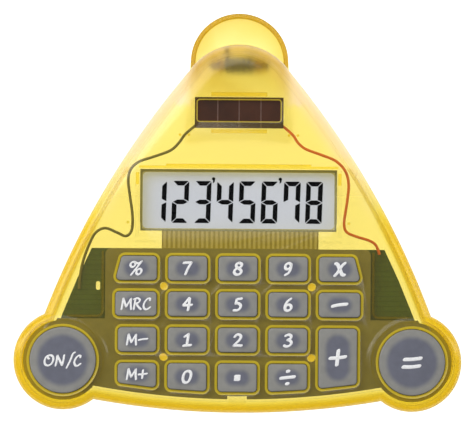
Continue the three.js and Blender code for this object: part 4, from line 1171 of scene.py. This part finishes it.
# %% Pen strokes
signs = {
    "0": [[(0.45, 1.0), (0.18, 0.84), (0.04, 0.44), (0.08, 0.12), (0.29, 0.0), (0.54, 0.16), (0.7, 0.58),
           (0.66, 0.9), (0.45, 1.0)]],
    "1": [[(0.12, 0.78), (0.44, 1.0)], [(0.44, 1.0), (0.37, 0.55), (0.29, 0.05)],
          [(0.03, 0.02), (0.3, 0.05), (0.62, 0.07)]],
    "2": [[(0.12, 0.8), (0.3, 0.98), (0.54, 0.96), (0.64, 0.78), (0.5, 0.52), (0.24, 0.26), (0.02, 0.04)],
          [(0.02, 0.04), (0.34, 0.07), (0.68, 0.06)]],
    "3": [[(0.14, 0.9), (0.38, 1.0), (0.6, 0.9), (0.56, 0.7), (0.3, 0.56)],
          [(0.3, 0.56), (0.54, 0.48), (0.62, 0.26), (0.44, 0.06), (0.2, 0.0), (0.02, 0.08)]],
    "4": [[(0.5, 1.0), (0.28, 0.72), (0.02, 0.4)], [(0.02, 0.4), (0.36, 0.4), (0.72, 0.44)],
          [(0.56, 0.94), (0.5, 0.5), (0.42, 0.0)]],
    "5": [[(0.68, 1.0), (0.28, 0.96)], [(0.28, 0.96), (0.2, 0.58)],
          [(0.2, 0.58), (0.42, 0.6), (0.6, 0.44), (0.54, 0.18), (0.32, 0.03), (0.04, 0.02)]],
    "6": [[(0.56, 1.0), (0.28, 0.78), (0.08, 0.4), (0.1, 0.1), (0.32, 0.0), (0.56, 0.16), (0.58, 0.4),
           (0.4, 0.52), (0.18, 0.42), (0.09, 0.26)]],
    "7": [[(0.04, 0.94), (0.34, 0.96), (0.68, 0.96)], [(0.68, 0.96), (0.46, 0.62), (0.3, 0.3), (0.18, 0.0)]],
    "8": [[(0.46, 1.0), (0.24, 0.9), (0.2, 0.7), (0.38, 0.56), (0.6, 0.68), (0.66, 0.88), (0.46, 1.0)],
          [(0.38, 0.56), (0.12, 0.42), (0.03, 0.18), (0.22, 0.0), (0.5, 0.06), (0.62, 0.3), (0.38, 0.56)]],
    "9": [[(0.64, 0.84), (0.46, 1.0), (0.2, 0.86), (0.14, 0.6), (0.32, 0.48), (0.56, 0.62), (0.65, 0.9)],
          [(0.65, 0.9), (0.58, 0.48), (0.4, 0.16), (0.14, 0.0)]],
    "M": [[(0.0, 0.0), (0.08, 0.48), (0.16, 0.98)], [(0.16, 0.98), (0.3, 0.56), (0.42, 0.22)],
          [(0.42, 0.22), (0.64, 0.6), (0.86, 0.96)], [(0.86, 0.96), (0.83, 0.48), (0.86, 0.0)]],
    "R": [[(0.02, 0.0), (0.1, 0.48), (0.18, 0.94)],
          [(0.04, 0.9), (0.32, 1.0), (0.56, 0.88), (0.48, 0.64), (0.16, 0.5)],
          [(0.26, 0.5), (0.42, 0.24), (0.66, 0.0)]],
    "C": [[(0.62, 0.82), (0.62, 0.97), (0.42, 0.96), (0.16, 0.68), (0.04, 0.3), (0.16, 0.02), (0.4, 0.02),
           (0.64, 0.2)]],
    "O": [[(0.46, 0.66), (0.36, 0.72), (0.38, 0.94), (0.62, 1.0), (0.84, 0.84), (0.86, 0.5), (0.66, 0.14),
           (0.34, 0.0), (0.08, 0.14), (0.04, 0.5), (0.2, 0.84), (0.42, 0.98)]],
    "N": [[(0.0, 0.0), (0.1, 0.5), (0.16, 0.98)], [(0.16, 0.98), (0.4, 0.5), (0.62, 0.03)],
          [(0.62, 0.03), (0.74, 0.52), (0.82, 1.0)]],
    "/": [[(0.0, -0.2), (0.34, 0.5), (0.6, 1.14), (0.78, 1.28)]],
    "%": [[(0.3, 0.96), (0.1, 0.88), (0.03, 0.7), (0.16, 0.56), (0.34, 0.66), (0.4, 0.84), (0.3, 0.96)],
          [(0.3, 0.94), (0.6, 0.84), (0.86, 1.0)], [(0.86, 1.0), (0.46, 0.48), (0.08, 0.0)],
          [(0.72, 0.46), (0.52, 0.34), (0.46, 0.14), (0.6, 0.02), (0.78, 0.14), (0.84, 0.34),
           (0.72, 0.46)]],
    "+": [[(0.0, 0.46), (0.38, 0.48), (0.78, 0.54)], [(0.42, 0.86), (0.38, 0.5), (0.34, 0.12)]],
    "-": [[(0.0, 0.44), (0.38, 0.52), (0.8, 0.56)]],
    "x": [[(0.08, 0.96), (0.24, 0.86), (0.4, 0.5), (0.58, 0.1), (0.76, 0.04)],
          [(0.8, 0.98), (0.58, 0.78), (0.24, 0.26), (0.02, 0.0)]],
    "=": [[(0.1, 0.78), (0.7, 0.8), (1.34, 0.88)], [(0.0, 0.2), (0.6, 0.2), (1.24, 0.28)]],
    ":": [[(0.0, 0.44), (0.5, 0.5), (1.06, 0.56)], [(0.52, 1.0), (0.62, 1.0)], [(0.46, 0.0), (0.56, 0.0)]],
    ".": [[(0.0, 0.0), (0.5, 0.0)], [(0.02, 0.25), (0.52, 0.25)], [(0.04, 0.5), (0.54, 0.5)]],
}
# Each key's legend has its signs, its cap height and its pen width.
legends = {f"key_{digit}": (digit, 3.05, 0.8) for digit in "0123456789"}
legends.update({
    "key_percent": ("%", 3.5, 0.64),
    "key_multiply": ("x", 3.2, 1.0),
    "key_minus": ("-", 4.5, 1.05),
    "key_plus": ("+", 4.95, 1.1),
    "key_divide": (":", 3.2, 1.05),
    "key_point": (".", 1.8, 0.9),
    "key_memory_recall": ("MRC", 2.85, 0.58),
    "key_memory_minus": ("M-", 2.75, 0.6),
    "key_memory_plus": ("M+", 2.75, 0.6),
    "key_on_clear": ("ON/C", 2.66, 0.6),
    "key_equals": ("=", 3.3, 1.15),
})
sign_space, slash_overlap = 0.24, 0.28
nib_angle, nib_thinness, ink_height, ink_step = 0.65, 0.68, 0.16, 0.12


def written(text):
    """All strokes of a word, side by side, with the word's middle at zero."""
    strokes, start = [], 0.0
    for sign in text:
        points = np.array([p for stroke in signs[sign] for p in stroke])
        shift = start - points[:, 0].min()
        strokes += [np.array(stroke) + (shift, 0) for stroke in signs[sign]]
        start += np.ptp(points[:, 0]) + sign_space - slash_overlap * (sign == "/")
    every = np.vstack(strokes)
    middle = (every.min(0) + every.max(0)) / 2
    return [stroke - middle for stroke in strokes]

# %% Ink tree
white_ink, tree = new_finish("pad-printed white ink")
place = add(tree, "ShaderNodeTexCoord").outputs["Object"]
# The pad leaves the ink thinner in spots of about 0.7 mm.
cover = add(tree, "ShaderNodeTexNoise", {"Vector": place, "Scale": 1500, "Detail": 2})
cover_share = add(tree, "ShaderNodeMapRange", {
    "Value": cover, "From Min": 0.3, "From Max": 0.55, "To Min": 0.0, "To Max": 1.0,
})
thin = add(tree, "ShaderNodeMix", {
    "Factor": cover_share, "A": linear("#F6F6F8"), "B": linear("#FFFFFF"),
}, data_type="RGBA")
ends_in(tree, add(tree, "ShaderNodeBsdfPrincipled", {
    "Base Color": thin.outputs["Result"], "Roughness": 0.5,
}))


def new_grower(name, source, values, coating):
    """A geometry tree: a source shape, named values and a material go in, and a mesh comes out."""
    tree = bpy.data.node_groups.new(name, "GeometryNodeTree")
    sockets = {}

    def takes(label, kind, value=None):
        socket = tree.interface.new_socket(label, in_out="INPUT", socket_type=kind)
        sockets[label] = socket.identifier
        if value is not None:
            socket.default_value = value

    takes(source, "NodeSocketGeometry")
    for label, value in values.items():
        takes(label, "NodeSocketInt" if isinstance(value, int) else "NodeSocketFloat", value)
    takes(coating, "NodeSocketMaterial")
    tree.interface.new_socket("Mesh", in_out="OUTPUT", socket_type="NodeSocketGeometry")
    return tree, sockets, add(tree, "NodeGroupInput").outputs


def grows_into(tree, shape, coating):
    """The end of such a tree: the shape takes the material and goes out."""
    coated = add(tree, "GeometryNodeSetMaterial", {"Geometry": shape, "Material": coating})
    add(tree, "NodeGroupOutput", {0: coated})


def ink_tree():
    """Pen strokes as low, round-ended bars of ink."""
    tree, sockets, given = new_grower("ink strokes", "Strokes", {
        "Pen Width": 0.6, "Nib Angle": 0.6, "Nib Thinness": 0.7, "Ink Height": 0.16, "Step": 0.12,
    }, "Ink")
    smooth = add(tree, "GeometryNodeCurveSplineType", {"Curve": given["Strokes"]}, spline_type="CATMULL_ROM")
    nib_back = add(tree, "ShaderNodeMath", {0: given["Nib Angle"], 1: -1.0}, operation="MULTIPLY")
    nib_wide = add(tree, "ShaderNodeMath", {0: 1.0, 1: given["Nib Thinness"]}, operation="DIVIDE")
    level = add(tree, "GeometryNodeTransform", {
        "Geometry": smooth,
        "Rotation": add(tree, "ShaderNodeCombineXYZ", {"Z": nib_back}),
    })
    widened = add(tree, "GeometryNodeTransform", {
        "Geometry": level,
        "Scale": add(tree, "ShaderNodeCombineXYZ", {"X": 1.0, "Y": nib_wide, "Z": 1.0}),
    })
    even = add(tree, "GeometryNodeResampleCurve", {
        "Curve": widened, "Length": given["Step"],
    }, mode="LENGTH")
    half = add(tree, "ShaderNodeMath", {0: given["Pen Width"], 1: 0.5}, operation="MULTIPLY")
    nib = add(tree, "GeometryNodeCurvePrimitiveCircle", {"Resolution": 10, "Radius": half})
    bars = add(tree, "GeometryNodeCurveToMesh", {
        "Curve": even, "Profile Curve": nib.outputs["Curve"], "Fill Caps": True,
    })
    ball = add(tree, "GeometryNodeMeshUVSphere", {"Segments": 10, "Rings": 6, "Radius": half})
    tips = add(tree, "GeometryNodeCurveEndpointSelection")
    round_ends = add(tree, "GeometryNodeInstanceOnPoints", {
        "Points": even, "Selection": tips, "Instance": ball.outputs["Mesh"],
    })
    whole = add(tree, "GeometryNodeJoinGeometry")
    for part in (bars, round_ends):
        tree.links.new(part.outputs[0], whole.inputs[0])
    real = add(tree, "GeometryNodeRealizeInstances", {"Geometry": whole})
    low_share = add(tree, "ShaderNodeMath", {
        0: given["Ink Height"], 1: given["Pen Width"],
    }, operation="DIVIDE")
    narrowed = add(tree, "GeometryNodeTransform", {
        "Geometry": real,
        "Scale": add(tree, "ShaderNodeCombineXYZ", {
            "X": 1.0, "Y": given["Nib Thinness"], "Z": low_share,
        }),
    })
    low = add(tree, "GeometryNodeTransform", {
        "Geometry": narrowed,
        "Rotation": add(tree, "ShaderNodeCombineXYZ", {"Z": given["Nib Angle"]}),
    })
    grows_into(tree, low, given["Ink"])
    return tree, sockets


def grown_by_nodes(source, tree, sockets, values):
    """Runs a node tree on an object and returns its result as a plain mesh object."""
    modifier = source.modifiers.new("grow", "NODES")
    modifier.node_group = tree
    for name, value in values.items():
        modifier[sockets[name]] = value
    bpy.context.view_layer.update()
    shown = source.evaluated_get(bpy.context.evaluated_depsgraph_get())
    mesh = bpy.data.meshes.new_from_object(shown)
    modifier.node_group = None
    source.modifiers.clear()
    bpy.data.objects.remove(source)
    return placed("grown", mesh)


def pen_curves(strokes):
    """Strokes of (x, y) or (x, y, z) points as one curve object."""
    curve = bpy.data.curves.new("strokes", "CURVE")
    curve.dimensions = "3D"
    for stroke in strokes:
        spline = curve.splines.new("POLY")
        spline.points.add(len(stroke) - 1)
        for point, place in zip(spline.points, stroke):
            point.co = (*place, 1) if len(place) == 3 else (*place, 0, 1)
    return placed("strokes", curve)


ink_nodes, ink_sockets = ink_tree()
for name, (text, cap_height, pen) in legends.items():
    drawn = pen_curves([stroke * cap_height for stroke in written(text)])
    ink = grown_by_nodes(drawn, ink_nodes, ink_sockets, {
        "Pen Width": pen, "Nib Angle": nib_angle, "Nib Thinness": nib_thinness,
        "Ink Height": ink_height, "Step": ink_step, "Ink": white_ink,
    })
    ink.data.transform(Matrix.Translation((*key_middle(name), key_top(name) + key_crown)))
    finished(ink, name.replace("key_", "legend_"), name, white_ink, sharp=60)

# %% [markdown]
# ## Display
#
# The display is a sandwich: front glass, liquid crystal, back glass and a foil that sends the light
# back. The digits are where the crystal blocks the light, in the thin layer between the glasses. A
# digit has seven bars with mitred ends that almost touch, so each bar is an outline of a few points
# in the digit's cell, and a table says which bars each digit uses. Two small tailed marks stand high
# in the gaps after the third and the sixth digit.

# %% Bars of a digit
digit_width, digit_height, bar_width = 4.26, 10.8, 1.18
bar_gap, corner_cut = 0.14, 0.34
digit_lean = 0.03
digit_pitch, first_digit_x, digit_foot = 5.73, -20.7, -2.6
crystal_level, crystal_thickness = 2.42, 0.04
crystal_levels = (crystal_level, crystal_level + crystal_thickness)
mark_radius, mark_tail = 0.44, [(-0.12, -0.4), (-0.2, -1.15), (0.26, -0.8)]
mark_places = [(-6.45, 8.75), (10.7, 8.75)]


def digit_bars():
    """Outlines of the seven bars, each going counter-clockwise, in the digit's cell."""
    w, h, t, g, c = digit_width, digit_height, bar_width, bar_gap, corner_cut
    m = h / 2
    top = [(c + g, h), (g + c / 3, h - c / 3), (t + g, h - t), (w - t - g, h - t),
           (w - g - c / 3, h - c / 3), (w - c - g, h)]
    middle = [(g + c / 3, m), (t + g, m - t / 2), (w - t - g, m - t / 2), (w - g - c / 3, m),
              (w - t - g, m + t / 2), (t + g, m + t / 2)]
    upper_right = [(w, m + g), (w, h - g - c), (w - c / 3, h - g - c / 3), (w - t, h - t - g),
                   (w - t, m + t / 2 + g)]

    def mirrored(outline, across=False, upside=False):
        flipped = [(w - x if across else x, h - y if upside else y) for x, y in outline]
        return flipped[::-1] if across != upside else flipped

    return {
        "a": top,
        "b": upper_right,
        "c": mirrored(upper_right, upside=True),
        "d": mirrored(top, upside=True),
        "e": mirrored(upper_right, across=True, upside=True),
        "f": mirrored(upper_right, across=True),
        "g": middle,
    }


bars_of = {
    "1": "bc", "2": "abged", "3": "abgcd", "4": "fgbc",
    "5": "afgcd", "6": "afgedc", "7": "fabc", "8": "abcdefg",
}
bars = digit_bars()
shown_bars = []
for place, digit in enumerate("12345678"):
    left = first_digit_x + place * digit_pitch - digit_width / 2
    for bar in bars_of[digit]:
        outline = np.array(bars[bar])
        outline[:, 0] += left + digit_lean * (outline[:, 1] - digit_height / 2)
        outline[:, 1] += digit_foot
        if np.cross(outline[1] - outline[0], outline[2] - outline[1]) < 0:
            outline = outline[::-1]
        shown_bars.append(slab(outline, *crystal_levels))
mark = np.vstack((directions(np.linspace(-0.2 * math.pi, 1.1 * math.pi, 16)) * mark_radius, mark_tail))
shown_bars += [slab(mark + place, *crystal_levels) for place in mark_places]

dark_crystal, tree = new_finish("dark liquid crystal")
ends_in(tree, add(tree, "ShaderNodeBsdfPrincipled", {
    "Base Color": linear("#060608"), "Roughness": 0.6, "IOR": 1.1,
}))
digits = together(shown_bars)
finished(digits, "display_digits", "case", dark_crystal)

# %% Glass, foil, film and cell finishes
def clear_glass(name, tint, index):
    material, tree = new_finish(name)
    place = add(tree, "ShaderNodeTexCoord").outputs["Object"]
    through = add(tree, "ShaderNodeBsdfTransparent", {"Color": linear(tint)})
    # Float glass waves over about 22 mm, so 45 times in a metre.
    wave = add(tree, "ShaderNodeTexNoise", {"Vector": place, "Scale": 45})
    flat = add(tree, "ShaderNodeBump", {"Height": wave, "Strength": 0.02, "Distance": 0.0002})
    gloss = add(tree, "ShaderNodeBsdfGlossy", {"Roughness": 0.08, "Normal": flat})
    whole = add(tree, "ShaderNodeMixShader", {"Fac": polish_share(tree, index), 1: through, 2: gloss})
    ends_in(tree, whole)
    return material


def speckled(name, colours, grain, roughness, metallic=0.0, bump=0.0, coat=0.0, index=1.5):
    """An opaque finish whose colour drifts between two tones, with grain in millimetres."""
    material, tree = new_finish(name)
    place = add(tree, "ShaderNodeTexCoord").outputs["Object"]
    noise = add(tree, "ShaderNodeTexNoise", {"Vector": place, "Scale": 1 / (grain * MM), "Detail": 3})
    share = add(tree, "ShaderNodeMapRange", {"Value": noise, "From Min": 0.35, "From Max": 0.65})
    base = add(tree, "ShaderNodeMix", {
        "Factor": share, "A": linear(colours[0]), "B": linear(colours[1]),
    }, data_type="RGBA")
    relief = add(tree, "ShaderNodeBump", {"Height": noise, "Strength": bump, "Distance": 0.0001})
    ends_in(tree, add(tree, "ShaderNodeBsdfPrincipled", {
        "Base Color": base.outputs["Result"], "Roughness": roughness, "Metallic": metallic,
        "Coat Weight": coat, "IOR": index, "Normal": relief,
    }))
    return material


node_finishes = {
    "lcd_front_glass": clear_glass("glass under anti-glare film", "#FCFDFE", 1.2),
    "lcd_back_glass": speckled("glass over its dark edge seal", ("#949482", "#9C9C8A"), 14, 0.5),
    "lcd_reflector": speckled("aluminised foil", ("#B4B4B6", "#C6C6C8"), 0.8, 0.35, 0.8, 0.1),
    "chip_cap": speckled("black epoxy drop", ("#0E0E10", "#17171A"), 1.2, 0.28, bump=0.2, coat=0.4),
    "reservoir_capacitor": speckled("dark blue shrink sleeve", ("#1C2440", "#26305A"), 2, 0.35),
    "solar_cell": speckled("amorphous silicon on glass", ("#3A1E0E", "#472614"), 6, 0.2, coat=0.15),
    "heat_seal_connector": speckled("polyester film", ("#ACA054", "#B4A75C"), 1.5, 0.4, coat=0.2),
}

# %% Display ground and ledge seal
# The grey ground is the rear polariser as seen through the crystal. Under its lower edge the longer
# front glass carries a dark seal, which closes the dark line round the ground.
ground_x, ground_y, ground_depths = (-24.7, 24.7), (-4.1, 10.5), (0.04, 0.01)
seal_x, seal_y, seal_depths = (-25.2, 25.2), (-4.65, -2.5), (0.075, 0.05)
polariser = speckled("grey rear polariser", ("#E1E1E4", "#E6E6E9"), 14, 0.5)
seal = node_finishes["lcd_back_glass"]
display_ground = block(ground_x, ground_y, [crystal_level - depth for depth in ground_depths])
finished(display_ground, "display_ground", "case", polariser)
ledge_seal = block(seal_x, seal_y, [crystal_level - depth for depth in seal_depths])
finished(ledge_seal, "display_ledge_seal", "case", seal)

# %% [markdown]
# ## Silicone mat
#
# The mat fills the keypad between the board and the plate of the shell. It is the housing's outline
# moved inwards, cut off above the corner keys, with a block up to the board's edge. Its round wings
# reach under the grooves of the turrets, where they show as a dark ring round each corner key. It
# fits closely round the stakes. A notch clears the rib at its lower edge, and a relief the connector.

# %% Mat
mat_inset, mat_half, mat_corner, wing_top, board_edge = 3.5, 34.1, 1.5, -27.3, -9.2
board_top, beyond = 1, 60
mat_low, mat_high = board_top + gap, underside - gap
wing_radius, key_clearance, stake_clearance = 10.25, 0.3, 0.08
notch_x, notch_depth = (-2.5, 2.5), 1.1
relief_x, relief_length, relief_depth = (-19.95, 20.95), 1.5, 0.5
through_mat = (mat_low - weld, mat_high + weld)
upper_body = grown_rectangle((-mat_half, mat_half), (wing_top - over, board_edge), mat_corner)
holes = [key_outline(name, key_clearance) for name in (*outlines, *round_keys)]
holes += [circle(x, y, stake_radius + stake_clearance, 32) for x, y in stake_places]
mat = carve(
    loft([housing_ring(mat_inset, height) for height in (mat_low, mat_high)]),
    ("DIFFERENCE", block((-beyond, beyond), (wing_top, beyond), through_mat)),
    *joining(both_turrets(wing_radius, mat_low, mat_high)),
    ("UNION", slab(upper_body(0), mat_low, mat_high)),
    ("DIFFERENCE", together([slab(outline, *through_mat) for outline in holes])),
    ("DIFFERENCE", block(notch_x, (bottom_edge, bottom_edge + mat_inset + notch_depth), through_mat)),
    ("DIFFERENCE", block(
        relief_x, (board_edge - relief_length, board_edge + weld), (mat_low - weld, mat_low + relief_depth)
    )),
)
mat_silicone = silicone_rubber("moulded grey silicone mat", "#8E8A6E", "#8E8A6E")
finished(mat, "silicone_mat", "case", mat_silicone, nodes=["keypad_mat"])

# %% [markdown]
# ## Circuit board
#
# The board is glass-epoxy laminate under green solder mask. The mask is printed over copper tracks,
# so the tracks show as slightly lighter, raised green bands. They run in bundles with a pitch of
# about one and a quarter millimetres, which a brick pattern with long bricks gives.

# %% Solder mask
solder_mask, tree = new_finish("green solder mask on laminate")
place = add(tree, "ShaderNodeTexCoord").outputs["Object"]
track_pitch = 1.27 * MM
tracks = add(tree, "ShaderNodeTexBrick", {
    "Vector": place, "Scale": 1 / track_pitch, "Mortar Size": 0.16, "Mortar Smooth": 0.3,
    "Brick Width": 11, "Row Height": 1, "Bias": 0.0,
    "Color1": linear("#425E2B"), "Color2": linear("#46632E"), "Mortar": linear("#3C5828"),
}, offset=0.37)
# The glass weave under the mask has a pitch of about 1.4 mm.
weave = add(tree, "ShaderNodeTexNoise", {"Vector": place, "Scale": 700, "Detail": 2})
clouded = add(tree, "ShaderNodeMix", {
    "Factor": 0.25, "A": tracks.outputs["Color"], "B": weave,
}, data_type="RGBA", blend_type="OVERLAY")
step_up = add(tree, "ShaderNodeBump", {"Height": tracks.outputs["Fac"], "Strength": 0.3, "Distance": 0.00003})
ends_in(tree, add(tree, "ShaderNodeBsdfPrincipled", {
    "Base Color": clouded.outputs["Result"], "Roughness": 0.35, "Normal": step_up,
}))
node_finishes["circuit_board"] = solder_mask
for name, material in node_finishes.items():
    node = frame["nodes"][name]
    node.data.materials.clear()
    node.data.materials.append(material)
print("finished CAD parts:", ", ".join(node_finishes))

# %% [markdown]
# ## Connector tracks
#
# The film between the glass and the board carries printed tracks, side by side. Each is a thin strip
# that follows the film over its bend, so one strip is swept along the film's path and repeated at an
# even pitch. The same tree would serve any number of tracks.

# %% Track tree
def track_tree():
    tree, sockets, given = new_grower("connector tracks", "Path", {
        "Count": 32, "Pitch": 1.2, "Width": 0.6, "Thickness": 0.03,
    }, "Print")
    upright = add(tree, "GeometryNodeSetCurveNormal", {"Curve": given["Path"]}, mode="Z_UP")
    section = add(tree, "GeometryNodeCurvePrimitiveQuadrilateral", {
        "Width": given["Width"], "Height": given["Thickness"],
    })
    strip = add(tree, "GeometryNodeCurveToMesh", {
        "Curve": upright, "Profile Curve": section, "Fill Caps": True,
    })
    step = add(tree, "ShaderNodeCombineXYZ", {"X": given["Pitch"]})
    row = add(tree, "GeometryNodeMeshLine", {"Count": given["Count"], "Offset": step})
    copies = add(tree, "GeometryNodeInstanceOnPoints", {"Points": row, "Instance": strip})
    real = add(tree, "GeometryNodeRealizeInstances", {"Geometry": copies})
    grows_into(tree, real, given["Print"])
    return tree, sockets


carbon_print = speckled("printed carbon track", ("#DCD2A6", "#D2C89C"), 0.4, 0.5)
track_count, track_spacing, track_width, track_thickness = 33, 1.215, 0.62, 0.03
connector_x = 0.5
film_path = [(-3.1, 2.32), (-4.6, 2.32), (-8.35, 1.52), (-9.1, 1.52)]
first_track = connector_x - (track_count - 1) * track_spacing / 2
path = pen_curves([[(first_track, y, z) for y, z in film_path]])
track_nodes, track_sockets = track_tree()
tracks = grown_by_nodes(path, track_nodes, track_sockets, {
    "Count": track_count, "Pitch": track_spacing, "Width": track_width,
    "Thickness": track_thickness, "Print": carbon_print,
})
print("tracks span, mm:", [round(v, 2) for v in tracks.dimensions])
finished(tracks, "connector_tracks", "case", carbon_print)

# %% Cell divisions
# The cell is four cells in a row, and three thin bus lines part them.
line_places, line_half = (-5.5, 0, 5.6), 0.16
line_ends, line_levels = (21.95, 29.65), (3.7, 3.73)
cell_line = speckled("bus line between cells", ("#5E4238", "#684C42"), 1, 0.35)
divisions = together([
    block((x - line_half, x + line_half), line_ends, line_levels) for x in line_places
])
finished(divisions, "cell_divisions", "case", cell_line)

# %% [markdown]
# ## Wires and spring
#
# Two thin wires in PVC sleeves run from the solar cell round the display to the board. Their routes
# are chosen to follow the photograph. The clip's spring is steel wire wound round the hinge
# pin, with one leg on the raised floor and one on the clip. All three are round wire along a path,
# so one node tree sweeps them.

# %% Wire tree and routes
def wire_tree():
    tree, sockets, given = new_grower("round wire", "Route", {
        "Radius": 0.4, "Step": 0.3, "Sides": 12,
    }, "Skin")
    smooth = add(tree, "GeometryNodeCurveSplineType", {"Curve": given["Route"]}, spline_type="CATMULL_ROM")
    even = add(tree, "GeometryNodeResampleCurve", {
        "Curve": smooth, "Length": given["Step"],
    }, mode="LENGTH")
    round_section = add(tree, "GeometryNodeCurvePrimitiveCircle", {
        "Resolution": given["Sides"], "Radius": given["Radius"],
    })
    swept = add(tree, "GeometryNodeCurveToMesh", {
        "Curve": even, "Profile Curve": round_section.outputs["Curve"], "Fill Caps": True,
    })
    grows_into(tree, swept, given["Skin"])
    return tree, sockets


wire_nodes, wire_sockets = wire_tree()
wire_radius, wire_level, pad_level = 0.36, 1.85, 1.7
wire_step, wire_sides = 0.3, 14
routes = {
    "black": [
        (-9.9, 24.2), (-10.7, 22.9), (-12.3, 21.6), (-14, 20), (-15.6, 17.8), (-17.8, 15.9),
        (-22.4, 14.2), (-25.8, 13), (-27.8, 11), (-28.4, 8.4), (-28, 4.6), (-27.4, 0.6),
        (-27.2, -2.6), (-27.6, -5), (-29, -6.1), (-31.2, -5.2), (-34.2, -4.1), (-36.6, -5.2),
        (-38.2, -8), (-39.8, -12.4), (-40.6, -16.4), (-40.8, -19.7),
    ],
    "red": [
        (9.9, 24.2), (10.7, 22.9), (12.3, 21.6), (14, 20), (15.2, 18.2), (17.2, 16.6), (21, 15.2),
        (24.9, 13.6), (27.4, 11), (28.3, 7.6), (28, 3.6), (27.5, 0.2), (27.2, -2.6), (27.8, -4.6),
        (30, -5.7), (33.6, -6.8), (35.4, -8), (36.4, -10.4),
    ],
}
sleeves = {
    "black": speckled("black PVC sleeve", ("#6E6E50", "#78785A"), 1, 0.4),
    "red": speckled("red PVC sleeve", ("#F07030", "#F87C38"), 1, 0.4),
}
for colour, route in routes.items():
    last = len(route) - 1
    points = [(*place, pad_level if i >= last - 1 else wire_level) for i, place in enumerate(route)]
    wire = grown_by_nodes(pen_curves([points]), wire_nodes, wire_sockets, {
        "Radius": wire_radius, "Step": wire_step, "Sides": wire_sides, "Skin": sleeves[colour],
    })
    slot, lead, node = f"{colour}_sleeve", f"{colour}_lead", f"{colour}_wire"
    finished(wire, lead, "case", sleeves[colour], sharp=60, nodes=[node])

# %% Wound spring
# The coil is wound round the pin's axis, with a straight leg at each end.
spring_radius, coil_radius, coil_pitch, coil_turns, leg_length = 0.45, 2, 1.45, 4.5, 4.4
steps_per_turn, spring_step, spring_sides, bend_reach = 24, 0.35, 12, 1.4
coil_start = -coil_pitch * coil_turns / 2
coil = [(coil_start, leg_length, coil_radius), (coil_start, leg_length / 2, coil_radius)]
for i in range(int(coil_turns * steps_per_turn) + 1):
    turns = i / steps_per_turn
    angle = math.pi / 2 + 2 * math.pi * turns
    coil.append((
        coil_start + coil_pitch * turns, coil_radius * math.cos(angle), coil_radius * math.sin(angle)
    ))
coil += [(-coil_start, leg_length / 2, -coil_radius), (-coil_start, leg_length, -coil_radius)]
spring_steel = speckled("drawn spring wire", ("#5E5E58", "#6E6E66"), 0.5, 0.35, 0.6, 0.05)
spring = grown_by_nodes(pen_curves([coil]), wire_nodes, wire_sockets, {
    "Radius": spring_radius, "Step": spring_step, "Sides": spring_sides, "Skin": spring_steel,
})
spring.name = spring.data.name = "wound_spring"
spring.data.transform(pin_to_table)
spring.data.shade_smooth()
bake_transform(spring)
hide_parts("clip_spring")
print("spring:", len(spring.data.polygons), "faces, bends between case and clip")

# %% Hinge pin
pin_overhang, pin_chamfer = 0.6, 0.25
pin_half = lug_outer + pin_overhang
pin_rings = [
    (pin_radius - pin_chamfer, -pin_half),
    (pin_radius, -pin_half + pin_chamfer),
    (pin_radius, pin_half - pin_chamfer),
    (pin_radius - pin_chamfer, pin_half),
]
shaft = turned(pin_rings, 0, 0, 0.0, 40)
shaft.data.transform(Matrix.Rotation(math.pi / 2, 4, "Y"))
pin_steel = speckled("ground steel pin", ("#8C8C8E", "#9A9A9C"), 0.3, 0.25, 1.0)
finished(shaft, "hinge_pin", "case", pin_steel, place=pin_to_table, nodes=["clip_pin"])
